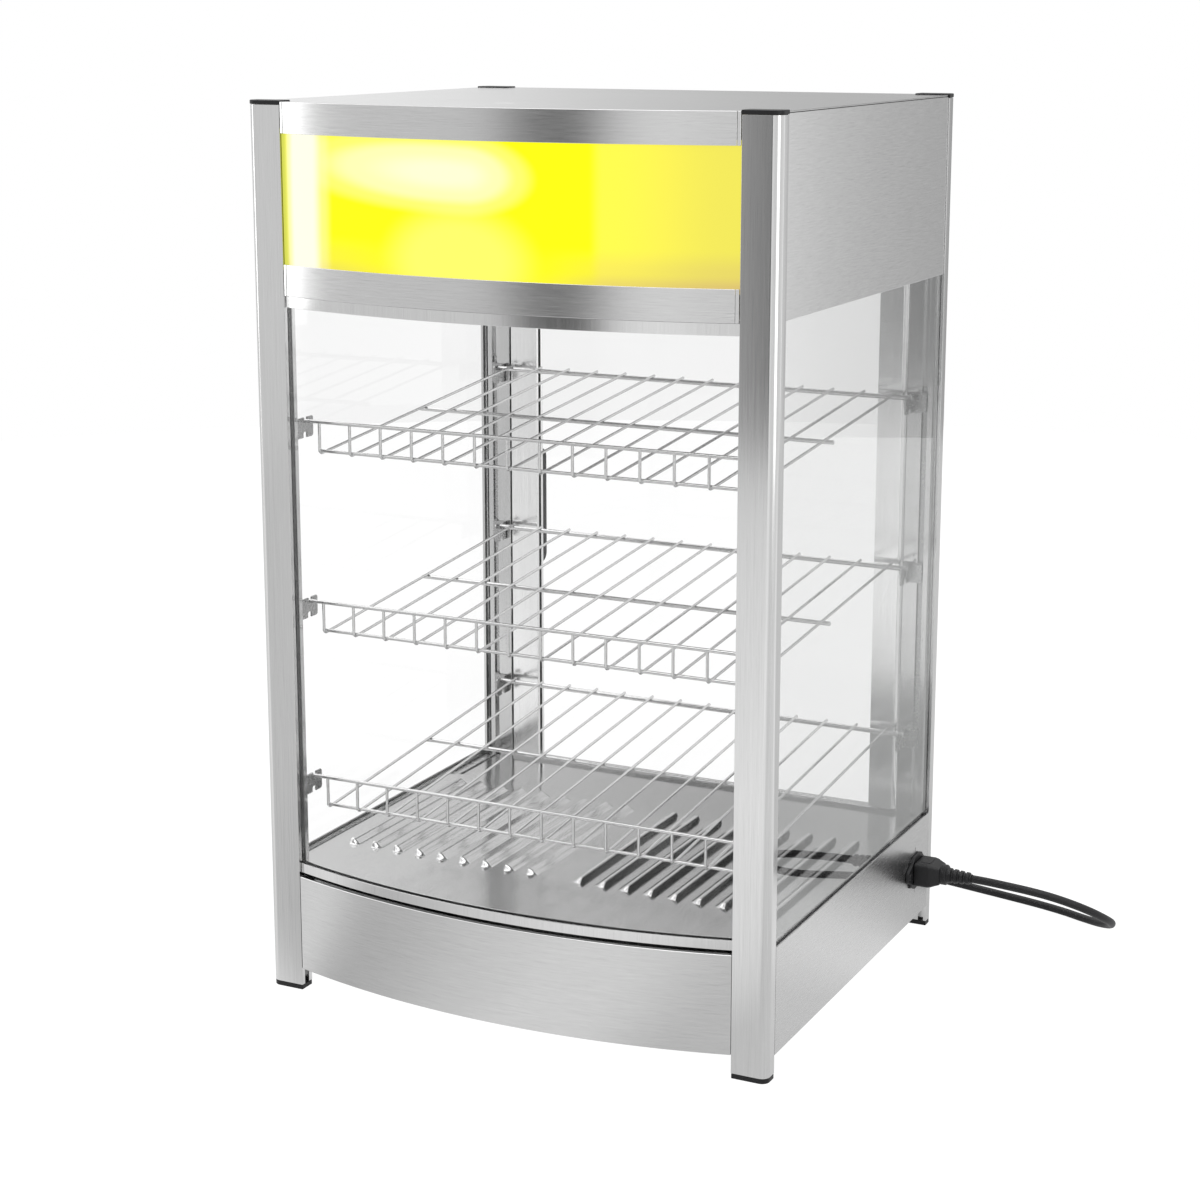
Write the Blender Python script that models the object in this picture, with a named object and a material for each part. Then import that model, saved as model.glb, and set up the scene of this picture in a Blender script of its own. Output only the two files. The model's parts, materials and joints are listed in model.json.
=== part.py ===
"""A countertop food warmer: a lit header over a glass chamber with three wire shelves, on a heated base.

Metres, +Z up. X runs to the right of someone who faces the bowed front, and Y runs to the rear.
The pieces are placed about the middle of the four columns, under the empty named cabinet, which is
shifted so that the world's origin is the bottom centre of the whole cabinet without its cord.
"""

import math

import bmesh
import bpy
from mathutils import Matrix, Vector

MM = 0.001

# The whole cabinet
WIDTH = 450 * MM  # over the columns
DEPTH = 386 * MM  # over the columns, without the bow
HEIGHT = 735 * MM  # to the top of the caps
BOW = 28 * MM  # how far the front bulges past the columns
BOW_STEPS = 18
FIT = 0.3 * MM  # between pieces that touch
SHEET = 1.2 * MM  # folded sheet metal
GLASS = 4 * MM

# Levels of the main pieces
BASE_BOTTOM = 19 * MM
FLOOR_TOP = 103 * MM
BASE_FRONT_DROP = 2.7 * MM  # the front of the base ends this far under the floor's top
SIDE_LIP = 3.4 * MM  # the sides of the base stand this far over it
TOP_TRIM_HEIGHT = 24.4 * MM
SIGN_HEIGHT = 101.9 * MM
BOTTOM_TRIM_HEIGHT = 24.7 * MM
TOP_DROP = 1 * MM  # the top panel lies this far under the cap tops

# Corner columns, an extrusion with three grooves and a hollow
COLUMN_WIDTH = 30 * MM
COLUMN_DEPTH = 15 * MM
COLUMN_CORNER = 7 * MM
COLUMN_CORNER_STEPS = 5
COLUMN_WALL = 1.5 * MM
GROOVE_SLACK = 0.4 * MM
FRONT_GROOVE_DEPTH = 5 * MM
CLIP_GROOVE_START = 13 * MM
CLIP_GROOVE_WIDTH = 5 * MM
CLIP_GROOVE_DEPTH = 4 * MM
SIDE_GLASS_INSET = 3 * MM
SIDE_GROOVE_DEPTH = 5 * MM

# Feet and caps, plugs in the ends of the columns
FOOT_SOLE = 4 * MM
FOOT_SHRINK = 0.2 * MM
CAP_THICKNESS = 3.2 * MM
CAP_OVERHANG = 0.4 * MM
PLUG_SPIGOT = 10 * MM

# Header
TOP_TRIM_FLANGE = 6 * MM
TRIM_END_GAP = 3 * MM
BOTTOM_TRIM_FLANGE = 11 * MM
SIGN_THICKNESS = 3 * MM
SIGN_OVERLAP = 4 * MM
SIDE_FLANGE = 13 * MM
HEADER_SIDE_INSET = 0.8 * MM
REAR_INSET = 1 * MM
TOP_SLIT_LENGTH = 18 * MM
TOP_SLIT_WIDTH = 2.4 * MM
TOP_SLIT_X = -26 * MM
TOP_SLIT_BACK = 54 * MM  # behind the columns' front faces

# Channels that hold the bowed glass
RAIL_INSET = 2.5 * MM
RAIL_WALL = 1.2 * MM
RAIL_HEIGHT = 8 * MM
UPPER_RAIL_HEIGHT = 9.2 * MM
RAIL_FLOOR = 1.5 * MM
GLASS_BITE = 5 * MM

# Floor plate with its two groups of slots
FLOOR_FRONT_INSET = 7 * MM
FLOOR_REACH = 2 * MM  # past the columns' inner faces, to the rear
STEP_AHEAD = 78 * MM  # ahead of the rear columns' inner faces
STEP_RUN = 3 * MM
STEP_DROP = 3 * MM
SLOTS_PER_GROUP = 9
SLOT_FIRST = 27.5 * MM  # from the middle to the first slot's middle
SLOT_LAST_MARGIN = 25.9 * MM  # from the last slot's middle to the columns' outer face
SLOT_WIDTH = 9 * MM
SLOT_FRONT_MARGIN = 66 * MM
SLOT_REAR_MARGIN = 20 * MM
SLOT_END_STEPS = 4

# Bottom pan
PAN_VENTS = 7
PAN_VENT_PITCH = 24 * MM
PAN_VENT_WIDTH = 6 * MM
PAN_VENT_LENGTH = 90 * MM

# Rear door
DOOR_GAP = 1 * MM
DOOR_SIDE_GAP = 0.7 * MM
STILE_WIDTH = 27 * MM
STILE_THICKNESS = 12 * MM
STILE_GROOVE = 8 * MM
STILE_ROUND_STEPS = 8
HINGE_PIN_RADIUS = 2.5 * MM
HINGE_PIN_LENGTH = 4 * MM
HINGE_HOLE_SLACK = 0.4 * MM
ROUND_STEPS = 16
HANDLE_HEIGHT = 110 * MM
HANDLE_REACH = 22 * MM
HANDLE_BAR = 7 * MM
HANDLE_WIDTH = 12 * MM
HANDLE_CORNER = 5 * MM

# Wire shelves
LOWEST_SHELF_RISE = 74 * MM  # its rails, over the floor
HIGHEST_SHELF_DROP = 106 * MM  # its rails, under the header
SHELF_WIRES = 14
WIRE_MARGIN = 8.5 * MM  # from the last wire to the columns' inner edge
WIRE_RADIUS = 1.2 * MM
FRONT_RAIL_RADIUS = 1.5 * MM
LOWER_RAIL_RADIUS = 1.4 * MM
CROSS_RAIL_RADIUS = 1.8 * MM
REAR_RAIL_RADIUS = 2.2 * MM
FRONT_RAIL_MARGIN = 18 * MM  # from the columns' inner faces
REAR_RAIL_MARGIN = 10 * MM
CROSS_RAIL_Y = 10 * MM
LOWER_RAIL_DROP = 24 * MM
RAIL_REACH = 8 * MM  # past the columns' inner edges, into the clips
LOWER_RAIL_MARGIN = 6 * MM
CROSS_RAIL_MARGIN = 3 * MM
WIRE_TAIL = 4 * MM
WIRE_BEND = 3.5 * MM
WIRE_BEND_SHARES = (0.7, 0.25)
WELD = 0.5 * MM
WIRE_SIDES = 6

# Clips that carry the shelves
CLIP_PLATE = 1.2 * MM
CLIP_OVERLAP = 3 * MM  # inwards past the column's edge
CLIP_BELOW = 14 * MM
CLIP_ABOVE = 9 * MM
CLIP_LIP = 2 * MM
CLIP_TOOTH_BELOW = 6 * MM
CLIP_TOOTH_ABOVE = 4 * MM
CLIP_STRIP = 1.5 * MM

# Heating element and its brackets
ELEMENT_RADIUS = 4 * MM
ELEMENT_DROP = 41 * MM  # under the floor's top
ELEMENT_PITCH = 70 * MM
ELEMENT_RUNS = 4
ELEMENT_TURN_MARGIN = 78 * MM  # from the half turns' centres to the columns' inner faces
ELEMENT_TERMINAL_MARGIN = 28 * MM
ELEMENT_SIDES = 8
ELEMENT_TURN_STEPS = 8
BRACKET_INSET = 18 * MM  # from the half turns' centres
BRACKET_MARGIN = 18 * MM
BRACKET_ABOVE = 9 * MM
BRACKET_FOOT = 14 * MM

# Controls on the rear of the base
THERMOSTAT_X = 110 * MM
THERMOSTAT_SIZE = 34 * MM
THERMOSTAT_DEPTH = 28 * MM
SHAFT_RADIUS = 3 * MM
SHAFT_LENGTH = 12 * MM
KNOB_RADIUS = 19 * MM
KNOB_HEIGHT = 16 * MM
KNOB_SKIRT = 4 * MM
KNOB_GRIP_RADIUS = 13 * MM
KNOB_RUNNING = 1 * MM
KNOB_POINTER = 3 * MM
KNOB_STEPS = 24
SWITCH_X = -110 * MM
SWITCH_FLANGE_X = 15 * MM
SWITCH_FLANGE_Z = 21 * MM
SWITCH_FLANGE = 1.5 * MM
SWITCH_BODY_X = 12.8 * MM
SWITCH_BODY_Z = 19 * MM
SWITCH_BODY_DEPTH = 18 * MM
SWITCH_WALL = 1.2 * MM
ROCKER_SLACK = 0.5 * MM
ROCKER_TILT = 10  # degrees either side of level
ROCKER_THICKNESS = 4 * MM
ROCKER_PROUD = 1.6 * MM
ROCKER_RECESS = 7 * MM
PILOT_X = -70 * MM
PILOT_RADIUS = 5 * MM
PILOT_BARREL = 4 * MM
PILOT_LENGTH = 14 * MM

# Lamp behind the sign
LAMP_X = -35 * MM
LAMP_BACK = 73 * MM  # behind the columns' front faces
LAMP_RADIUS = 17 * MM
LAMP_LENGTH = 72 * MM
LAMP_NECK = 7 * MM
LAMP_STEPS = 16
LAMP_RINGS = 6
HOLDER_RADIUS = 12 * MM
HOLDER_LENGTH = 26 * MM
HOLDER_POST = 3 * MM
HOLDER_FOOT = 16 * MM

# Mains inlet in the right side of the base
INLET_MARGIN = 34 * MM  # from the rear columns' inner faces
INLET_RISE = 3 * MM  # over the middle of the base
INLET_WIDTH = 50 * MM
INLET_HEIGHT = 29 * MM
INLET_PROUD = 3 * MM
INLET_EAR = 14 * MM
INLET_EAR_STEPS = 6
INLET_BODY_WIDTH = 31 * MM
INLET_BODY_HEIGHT = 24 * MM
INLET_BODY_DEPTH = 20 * MM
INLET_SOCKET_WIDTH = 24.5 * MM
INLET_SOCKET_HEIGHT = 16.8 * MM
INLET_SOCKET_DEPTH = 16 * MM
INLET_SCREW_SPACING = 40 * MM
INLET_SCREW_RADIUS = 3 * MM
INLET_SCREW_HEAD = 0.9 * MM
SLIT_RISE = 19 * MM
SLIT_LENGTH = 3.6 * MM
SLIT_WIDTH = 0.9 * MM

# Connector on the cord
CONNECTOR_WIDTH = 27 * MM
CONNECTOR_HEIGHT = 21 * MM
CONNECTOR_LENGTH = 22 * MM
CONNECTOR_TAPER_SHARE = 0.6  # of its length, where the taper starts
CONNECTOR_NECK_SHARE = 0.72
CONNECTOR_NOSE_SLACK = 0.4 * MM
CONNECTOR_NOSE = 14 * MM
CONNECTOR_ROUND = 3 * MM
COLLAR_RADIUS = 9 * MM
COLLAR_LENGTH = 5 * MM
RELIEF_RADIUS = 6.8 * MM
RELIEF_TIP_RADIUS = 4.6 * MM
RELIEF_LENGTH = 22 * MM
RELIEF_STEPS = 12

# Cord, its coil and its plug
CORD_RADIUS = 3.5 * MM
CORD_REST = 3.6 * MM  # height of its middle over the floor
CORD_STEPS = 64
ROUTE_STEPS = 24  # between two points of the route
COIL_CENTRE_X = 40 * MM
COIL_CENTRE_Y = 268 * MM
COIL_OUTER = 50 * MM  # to the middle of the cord
COIL_PITCH = 7.9 * MM  # between turns that lie side by side
COIL_CLIMB = 7.7 * MM  # from the lower layer to the upper one
COIL_TURNS = 2  # in the lower layer
COIL_LOOP_STEPS = 24
COIL_END = 9 * MM
PLUG_RADIUS = 18.5 * MM
PLUG_FACE = 9 * MM
PLUG_SHOULDER = 14 * MM
PLUG_GRIP_RADIUS = 12 * MM
PLUG_GRIP = 20 * MM
PLUG_RELIEF = 16 * MM
PLUG_RELIEF_RADIUS = 5 * MM
PLUG_TIP_RADIUS = 4.4 * MM
PLUG_PIN_RADIUS = 2.4 * MM
PLUG_PIN_LENGTH = 19 * MM
PLUG_PIN_SPACING = 19 * MM
PLUG_STEPS = 20
PLUG_GAP = 1 * MM  # lets the plug lean without touching the cord's end

# The cord's route in the cabinet's frame, from the connector to the coil behind the cabinet
CORD_ROUTE = (
    (0.2777, 0.1440, 0.0640),
    (0.2920, 0.1440, 0.0636),
    (0.3100, 0.1444, 0.0624),
    (0.3280, 0.1460, 0.0605),
    (0.3450, 0.1500, 0.0570),
    (0.3610, 0.1575, 0.0510),
    (0.3750, 0.1690, 0.0425),
    (0.3840, 0.1850, 0.0320),
    (0.3860, 0.2040, 0.0215),
    (0.3800, 0.2220, 0.0125),
    (0.3670, 0.2370, 0.0065),
    (0.3490, 0.2490, 0.0040),
    (0.3280, 0.2585, 0.0036),
    (0.3020, 0.2665, 0.0036),
    (0.2700, 0.2740, 0.0036),
    (0.2360, 0.2815, 0.0036),
    (0.2000, 0.2895, 0.0036),
    (0.1640, 0.2977, 0.0036),
    (0.1320, 0.3058, 0.0036),
    (0.1060, 0.3126, 0.0036),
    (0.0840, 0.3167, 0.0036),
    (0.0660, 0.3180, 0.0036),
    (0.0493, 0.3180, 0.0036),
)

# Places that follow from the sizes above
HALF_WIDTH = WIDTH / 2
HALF_DEPTH = DEPTH / 2
INNER_X = HALF_WIDTH - COLUMN_WIDTH  # the columns' inner edges
INNER_Y = HALF_DEPTH - COLUMN_DEPTH  # the columns' inner faces
BOW_RADIUS = (INNER_X**2 + BOW**2) / (2 * BOW)
BOW_CENTRE = BOW_RADIUS - HALF_DEPTH - BOW
TOP_LEVEL = HEIGHT - TOP_DROP
TOP_UNDER = TOP_LEVEL - SHEET
SIGN_HIGH = TOP_LEVEL - TOP_TRIM_HEIGHT
SIGN_LOW = SIGN_HIGH - SIGN_HEIGHT
BOTTOM_TRIM_LOW = SIGN_LOW - BOTTOM_TRIM_HEIGHT
BASE_FRONT_TOP = FLOOR_TOP - BASE_FRONT_DROP
SIDE_LIP_TOP = FLOOR_TOP + SIDE_LIP
FLOOR_UNDER = FLOOR_TOP - SHEET
SEAT_TOP = FLOOR_UNDER - FIT
CEILING_LOW = BOTTOM_TRIM_LOW + SHEET + FIT
CEILING_HIGH = CEILING_LOW + SHEET
FRONT_GLASS_INSET = RAIL_INSET + RAIL_WALL + GROOVE_SLACK
RAIL_DEPTH = 2 * RAIL_WALL + 2 * GROOVE_SLACK + GLASS
FRONT_GLASS_HALF = INNER_X + FRONT_GROOVE_DEPTH - 2 * GROOVE_SLACK
SIDE_GLASS_INNER = HALF_WIDTH - SIDE_GLASS_INSET - GLASS
REAR_WALL = HALF_DEPTH - REAR_INSET  # the outer face of the rear sheets
REAR_WALL_INNER = REAR_WALL - SHEET
REAR_FLANGE_END = INNER_Y + FLOOR_REACH + FIT
DOOR_Y = HALF_DEPTH - REAR_INSET - STILE_THICKNESS / 2
DOOR_EDGE = INNER_X - DOOR_SIDE_GAP
HINGE_X = DOOR_EDGE - STILE_THICKNESS / 2
DOOR_LOW = FLOOR_TOP + DOOR_GAP - FIT
DOOR_HIGH = CEILING_LOW - DOOR_GAP
PAN_LOW = BASE_BOTTOM + SHEET + FIT
PAN_TOP = PAN_LOW + SHEET
CAP_CLEAR = CAP_OVERHANG + FIT
STEP_AT = INNER_Y - STEP_AHEAD
SLOT_FRONT = SLOT_FRONT_MARGIN - INNER_Y
SLOT_REAR = STEP_AT - SLOT_REAR_MARGIN
SLOT_PITCH = (HALF_WIDTH - SLOT_LAST_MARGIN - SLOT_FIRST) / (SLOTS_PER_GROUP - 1)
TOP_SLIT_Y = TOP_SLIT_BACK - HALF_DEPTH
SHELF_PLACES = ("upper", "middle", "lower")
HIGHEST_SHELF = BOTTOM_TRIM_LOW - HIGHEST_SHELF_DROP
LOWEST_SHELF = FLOOR_TOP + LOWEST_SHELF_RISE
SHELF_SPACING = (HIGHEST_SHELF - LOWEST_SHELF) / (len(SHELF_PLACES) - 1)
FRONT_RAIL_Y = FRONT_RAIL_MARGIN - INNER_Y
REAR_RAIL_Y = INNER_Y - REAR_RAIL_MARGIN
ELEMENT_LEVEL = FLOOR_TOP - ELEMENT_DROP
ELEMENT_REAR = INNER_Y - ELEMENT_TURN_MARGIN
ELEMENT_TERMINAL = INNER_Y - ELEMENT_TERMINAL_MARGIN
CONTROL_LEVEL = (BASE_BOTTOM + FLOOR_TOP) / 2
CONTROL_Y = REAR_WALL
LAMP_Y = LAMP_BACK - HALF_DEPTH
LAMP_LEVEL = (SIGN_LOW + SIGN_HIGH) / 2
INLET_Y = INNER_Y - INLET_MARGIN
INLET_LEVEL = CONTROL_LEVEL + INLET_RISE


class Cabinet:
    """The empties that the pieces hang from, and the finishes that they share."""

    def __init__(self):
        right_reach = HALF_WIDTH + INLET_PROUD + INLET_SCREW_HEAD
        left_reach = HALF_WIDTH + CAP_OVERHANG
        rear_reach = REAR_WALL + FIT + HANDLE_REACH
        front_reach = HALF_DEPTH + BOW
        self.root = bpy.data.objects.new("cabinet", None)
        self.root.location = ((left_reach - right_reach) / 2, (front_reach - rear_reach) / 2, 0)
        bpy.context.scene.collection.objects.link(self.root)
        self.steel = finish("brushed steel", (0.62, 0.62, 0.61), 0.34, 1.0)
        self.aluminium = finish("satin aluminium", (0.70, 0.70, 0.70), 0.38, 1.0)
        self.chrome = finish("bright wire", (0.78, 0.78, 0.78), 0.16, 1.0)
        self.yellow = finish("yellow acrylic", (0.95, 0.63, 0.06), 0.25, 0.0)
        self.glass = finish("clear glass", (0.86, 0.90, 0.89), 0.04, 0.0, 0.3)
        self.bulb = finish("lamp glass", (0.96, 0.94, 0.88), 0.2, 0.0)
        self.black = finish("black plastic", (0.02, 0.02, 0.02), 0.42, 0.0)
        self.rubber = finish("cord sheath", (0.015, 0.015, 0.015), 0.55, 0.0)
        self.amber = finish("amber lens", (0.85, 0.30, 0.03), 0.2, 0.0)

    def pivot(self, name, location):
        empty = bpy.data.objects.new(name, None)
        empty.location = location
        empty.parent = self.root
        bpy.context.scene.collection.objects.link(empty)
        return empty

    def add(self, name, shape, look, pivot=None):
        """Turns a bmesh in the cabinet's frame into a named object under its pivot."""
        bmesh.ops.recalc_face_normals(shape, faces=shape.faces)
        if pivot is not None:
            bmesh.ops.translate(shape, verts=shape.verts, vec=-pivot.location)
        mesh = bpy.data.meshes.new(name)
        shape.to_mesh(mesh)
        shape.free()
        mesh.materials.append(look)
        mesh.shade_smooth()
        mesh.set_sharp_from_angle(angle=math.radians(35))
        piece = bpy.data.objects.new(name, mesh)
        piece.parent = pivot or self.root
        bpy.context.scene.collection.objects.link(piece)
        return piece


def finish(name, colour, roughness, metallic, alpha=1.0):
    look = bpy.data.materials.new(name)
    look.use_nodes = True
    shader = look.node_tree.nodes["Principled BSDF"]
    shader.inputs["Base Color"].default_value = (*colour, 1)
    shader.inputs["Roughness"].default_value = roughness
    shader.inputs["Metallic"].default_value = metallic
    shader.inputs["Alpha"].default_value = alpha
    look.diffuse_color = (*colour, alpha)
    return look


def combine(piece, other, operation):
    """Joins other to piece, or cuts it away, and keeps other as a helper that isn't rendered."""
    modifier = piece.modifiers.new(operation.lower(), "BOOLEAN")
    modifier.operation = operation
    modifier.solver = "EXACT"
    modifier.object = other
    other.hide_render = True
    other.display_type = "WIRE"


def place(axis, across, along, depth):
    """The point of a section: across and along lie in its plane, and depth runs along the named axis."""
    if axis == "X":
        return depth, across, along
    if axis == "Y":
        return across, depth, along
    return across, along, depth


def slab(loops, low, high, axis="Z"):
    """A solid with a flat outline. The first loop is its edge and the others are holes in it."""
    shape = bmesh.new()
    edges = []
    for loop in loops:
        corners = [shape.verts.new(place(axis, across, along, low)) for across, along in loop]
        edges += [shape.edges.new((corner, corners[i - 1])) for i, corner in enumerate(corners)]
    bmesh.ops.triangle_fill(shape, use_beauty=True, edges=edges)
    thicken(shape, axis, high - low)
    return shape


def thicken(shape, axis, thickness):
    """Extrudes the flat faces of a shape into a closed solid."""
    grown = bmesh.ops.extrude_face_region(shape, geom=shape.faces[:], use_keep_orig=True)
    moved = [item for item in grown["geom"] if isinstance(item, bmesh.types.BMVert)]
    bmesh.ops.translate(shape, verts=moved, vec=place(axis, 0, 0, thickness))


def box(low, high):
    (x0, y0, z0), (x1, y1, z1) = low, high
    return slab([[(x0, y0), (x1, y0), (x1, y1), (x0, y1)]], z0, z1)


def mirrored(low_x, high_x, side):
    """The two X limits on one side of the cabinet, in rising order."""
    return sorted((side * low_x, side * high_x))


def bow_y(inset, x):
    """Where the bowed front lies at x, for a surface that many metres behind the outer one."""
    return BOW_CENTRE - math.sqrt((BOW_RADIUS - inset) ** 2 - x**2)


def bow_points(inset, half_span):
    """The bowed line from left to right."""
    xs = [half_span * (2 * step / BOW_STEPS - 1) for step in range(BOW_STEPS + 1)]
    return [(x, bow_y(inset, x)) for x in xs]


def bowed(section, half_span):
    """A section of (inset, level) points carried along the bowed front, closed at both ends."""
    shape = bmesh.new()
    stations = []
    for step in range(BOW_STEPS + 1):
        x = half_span * (2 * step / BOW_STEPS - 1)
        stations.append([shape.verts.new((x, bow_y(inset, x), level)) for inset, level in section])
    for near, far in zip(stations, stations[1:]):
        for i in range(len(section)):
            shape.faces.new((near[i - 1], near[i], far[i], far[i - 1]))
    for end in (stations[0], stations[-1]):
        shape.faces.new(end)
    return shape


def turned(profile, origin, axis, steps):
    """A solid of revolution. The profile runs from the axis and back to it, as (radius, height)."""
    shape = bmesh.new()
    corners = [shape.verts.new((radius, 0, height)) for radius, height in profile]
    edges = [shape.edges.new(pair) for pair in zip(corners, corners[1:])]
    bmesh.ops.spin(
        shape, geom=corners + edges, cent=(0, 0, 0), axis=(0, 0, 1), angle=2 * math.pi, steps=steps
    )
    bmesh.ops.remove_doubles(shape, verts=shape.verts, dist=FIT / 10)
    turn = Vector((0, 0, 1)).rotation_difference(Vector(axis)).to_matrix().to_4x4()
    bmesh.ops.transform(shape, matrix=Matrix.Translation(origin) @ turn, verts=shape.verts)
    return shape


def rod(start, end, radius, steps):
    """A plain round bar between two points."""
    run = Vector(end) - Vector(start)
    return turned([(0, 0), (radius, 0), (radius, run.length), (0, run.length)], start, run, steps)


def sweep(shape, path, radius, side, sides):
    """Adds a round wire along a path that lies in the plane square to side, mitred at its bends."""
    path = [Vector(point) for point in path]
    side = Vector(side)
    rings = []
    for i, point in enumerate(path):
        before = (point - path[i - 1]).normalized() if i else None
        after = (path[i + 1] - point).normalized() if i + 1 < len(path) else None
        heading = ((before or after) + (after or before)).normalized()
        mitre = 1 / heading.dot(after or before)
        across = heading.cross(side)
        ring = []
        for step in range(sides):
            angle = 2 * math.pi * (step + 0.5) / sides
            offset = side * math.cos(angle) + across * (math.sin(angle) * mitre)
            ring.append(shape.verts.new(point + radius * offset))
        rings.append(ring)
    for near, far in zip(rings, rings[1:]):
        for i in range(sides):
            shape.faces.new((near[i - 1], near[i], far[i], far[i - 1]))
    shape.faces.new(rings[0])
    shape.faces.new(rings[-1])


def column_outline(grow=0.0):
    """The corner column from above, as (from the inner edge, from the front or rear face) points."""
    width, depth, corner = COLUMN_WIDTH, COLUMN_DEPTH, COLUMN_CORNER
    arc = []
    for step in range(COLUMN_CORNER_STEPS + 1):
        angle = math.pi / 2 * step / COLUMN_CORNER_STEPS
        reach = corner + grow
        arc.append((width - corner + reach * math.sin(angle), corner - reach * math.cos(angle)))
    return [(-grow, -grow), *arc, (width + grow, depth + grow), (-grow, depth + grow)]


def column_hollow(shrink=0.0):
    near_u = FRONT_GROOVE_DEPTH + COLUMN_WALL + shrink
    far_u = COLUMN_WIDTH - COLUMN_CORNER - shrink
    near_v = COLUMN_WALL + shrink
    far_v = COLUMN_DEPTH - SIDE_GROOVE_DEPTH - COLUMN_WALL - shrink
    return [(near_u, near_v), (far_u, near_v), (far_u, far_v), (near_u, far_v)]


def column_grooves():
    """The column's edge with its three grooves cut in."""
    outline = column_outline()
    glass_far = COLUMN_WIDTH - SIDE_GLASS_INSET + GROOVE_SLACK
    glass_near = COLUMN_WIDTH - SIDE_GLASS_INSET - GLASS - GROOVE_SLACK
    glass_floor = COLUMN_DEPTH - SIDE_GROOVE_DEPTH
    clip_far = CLIP_GROOVE_START + CLIP_GROOVE_WIDTH
    clip_floor = COLUMN_DEPTH - CLIP_GROOVE_DEPTH
    front_near = HALF_DEPTH + bow_y(FRONT_GLASS_INSET, INNER_X) - GROOVE_SLACK
    front_far = HALF_DEPTH + bow_y(FRONT_GLASS_INSET + GLASS, FRONT_GLASS_HALF) + GROOVE_SLACK
    inner_face = [
        (glass_far, COLUMN_DEPTH),
        (glass_far, glass_floor),
        (glass_near, glass_floor),
        (glass_near, COLUMN_DEPTH),
        (clip_far, COLUMN_DEPTH),
        (clip_far, clip_floor),
        (CLIP_GROOVE_START, clip_floor),
        (CLIP_GROOVE_START, COLUMN_DEPTH),
    ]
    inner_edge = [
        (0, front_far),
        (FRONT_GROOVE_DEPTH, front_far),
        (FRONT_GROOVE_DEPTH, front_near),
        (0, front_near),
    ]
    return outline[:-1] + inner_face + outline[-1:] + inner_edge


def at_corner(points, side, end):
    """Column points in the cabinet's frame: side is left or right, end is front or rear."""
    return [(side * (INNER_X + u), end * (HALF_DEPTH - v)) for u, v in points]


CORNERS = {
    "front_left": (-1, -1),
    "front_right": (1, -1),
    "rear_left": (-1, 1),
    "rear_right": (1, 1),
}
SIDES = {"left": -1, "right": 1}


def make_columns(cabinet):
    for name, (side, end) in CORNERS.items():
        loops = [at_corner(column_grooves(), side, end), at_corner(column_hollow(), side, end)]
        low = FOOT_SOLE + FIT
        high = HEIGHT - CAP_THICKNESS - FIT
        cabinet.add(f"column_{name}", slab(loops, low, high), cabinet.aluminium)
        spigot = at_corner(column_hollow(FIT), side, end)
        foot = slab([at_corner(column_outline(-FOOT_SHRINK), side, end)], 0, FOOT_SOLE)
        foot = cabinet.add(f"foot_{name}", foot, cabinet.black)
        peg = slab([spigot], FOOT_SOLE - SHEET, FOOT_SOLE + PLUG_SPIGOT)
        combine(foot, cabinet.add(f"foot_{name}_spigot", peg, cabinet.black), "UNION")
        cap = slab([at_corner(column_outline(CAP_OVERHANG), side, end)], HEIGHT - CAP_THICKNESS, HEIGHT)
        cap = cabinet.add(f"cap_{name}", cap, cabinet.black)
        peg = slab([spigot], HEIGHT - CAP_THICKNESS - PLUG_SPIGOT, HEIGHT - CAP_THICKNESS + SHEET)
        combine(cap, cabinet.add(f"cap_{name}_spigot", peg, cabinet.black), "UNION")


def deck_outline(front_inset, half_x, rear, clearance=FIT):
    """A plate that fills the cabinet's plan: bowed in front and notched round the four columns."""
    notch_x = INNER_X - clearance
    notch_y = INNER_Y - clearance
    right = [(notch_x, -notch_y), (half_x, -notch_y), (half_x, notch_y), (notch_x, notch_y)]
    left = [(-x, y) for x, y in reversed(right)]
    return bow_points(front_inset, notch_x) + right + [(notch_x, rear), (-notch_x, rear)] + left


def slot_outline(middle_x, low_y, high_y, width):
    """A slot that runs from front to rear, with half-round ends."""
    radius = width / 2
    points = []
    for centre_y, start in ((high_y - radius, 0), (low_y + radius, math.pi)):
        for step in range(SLOT_END_STEPS + 1):
            angle = start + math.pi * step / SLOT_END_STEPS
            points.append((middle_x + radius * math.cos(angle), centre_y + radius * math.sin(angle)))
    return points


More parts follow.
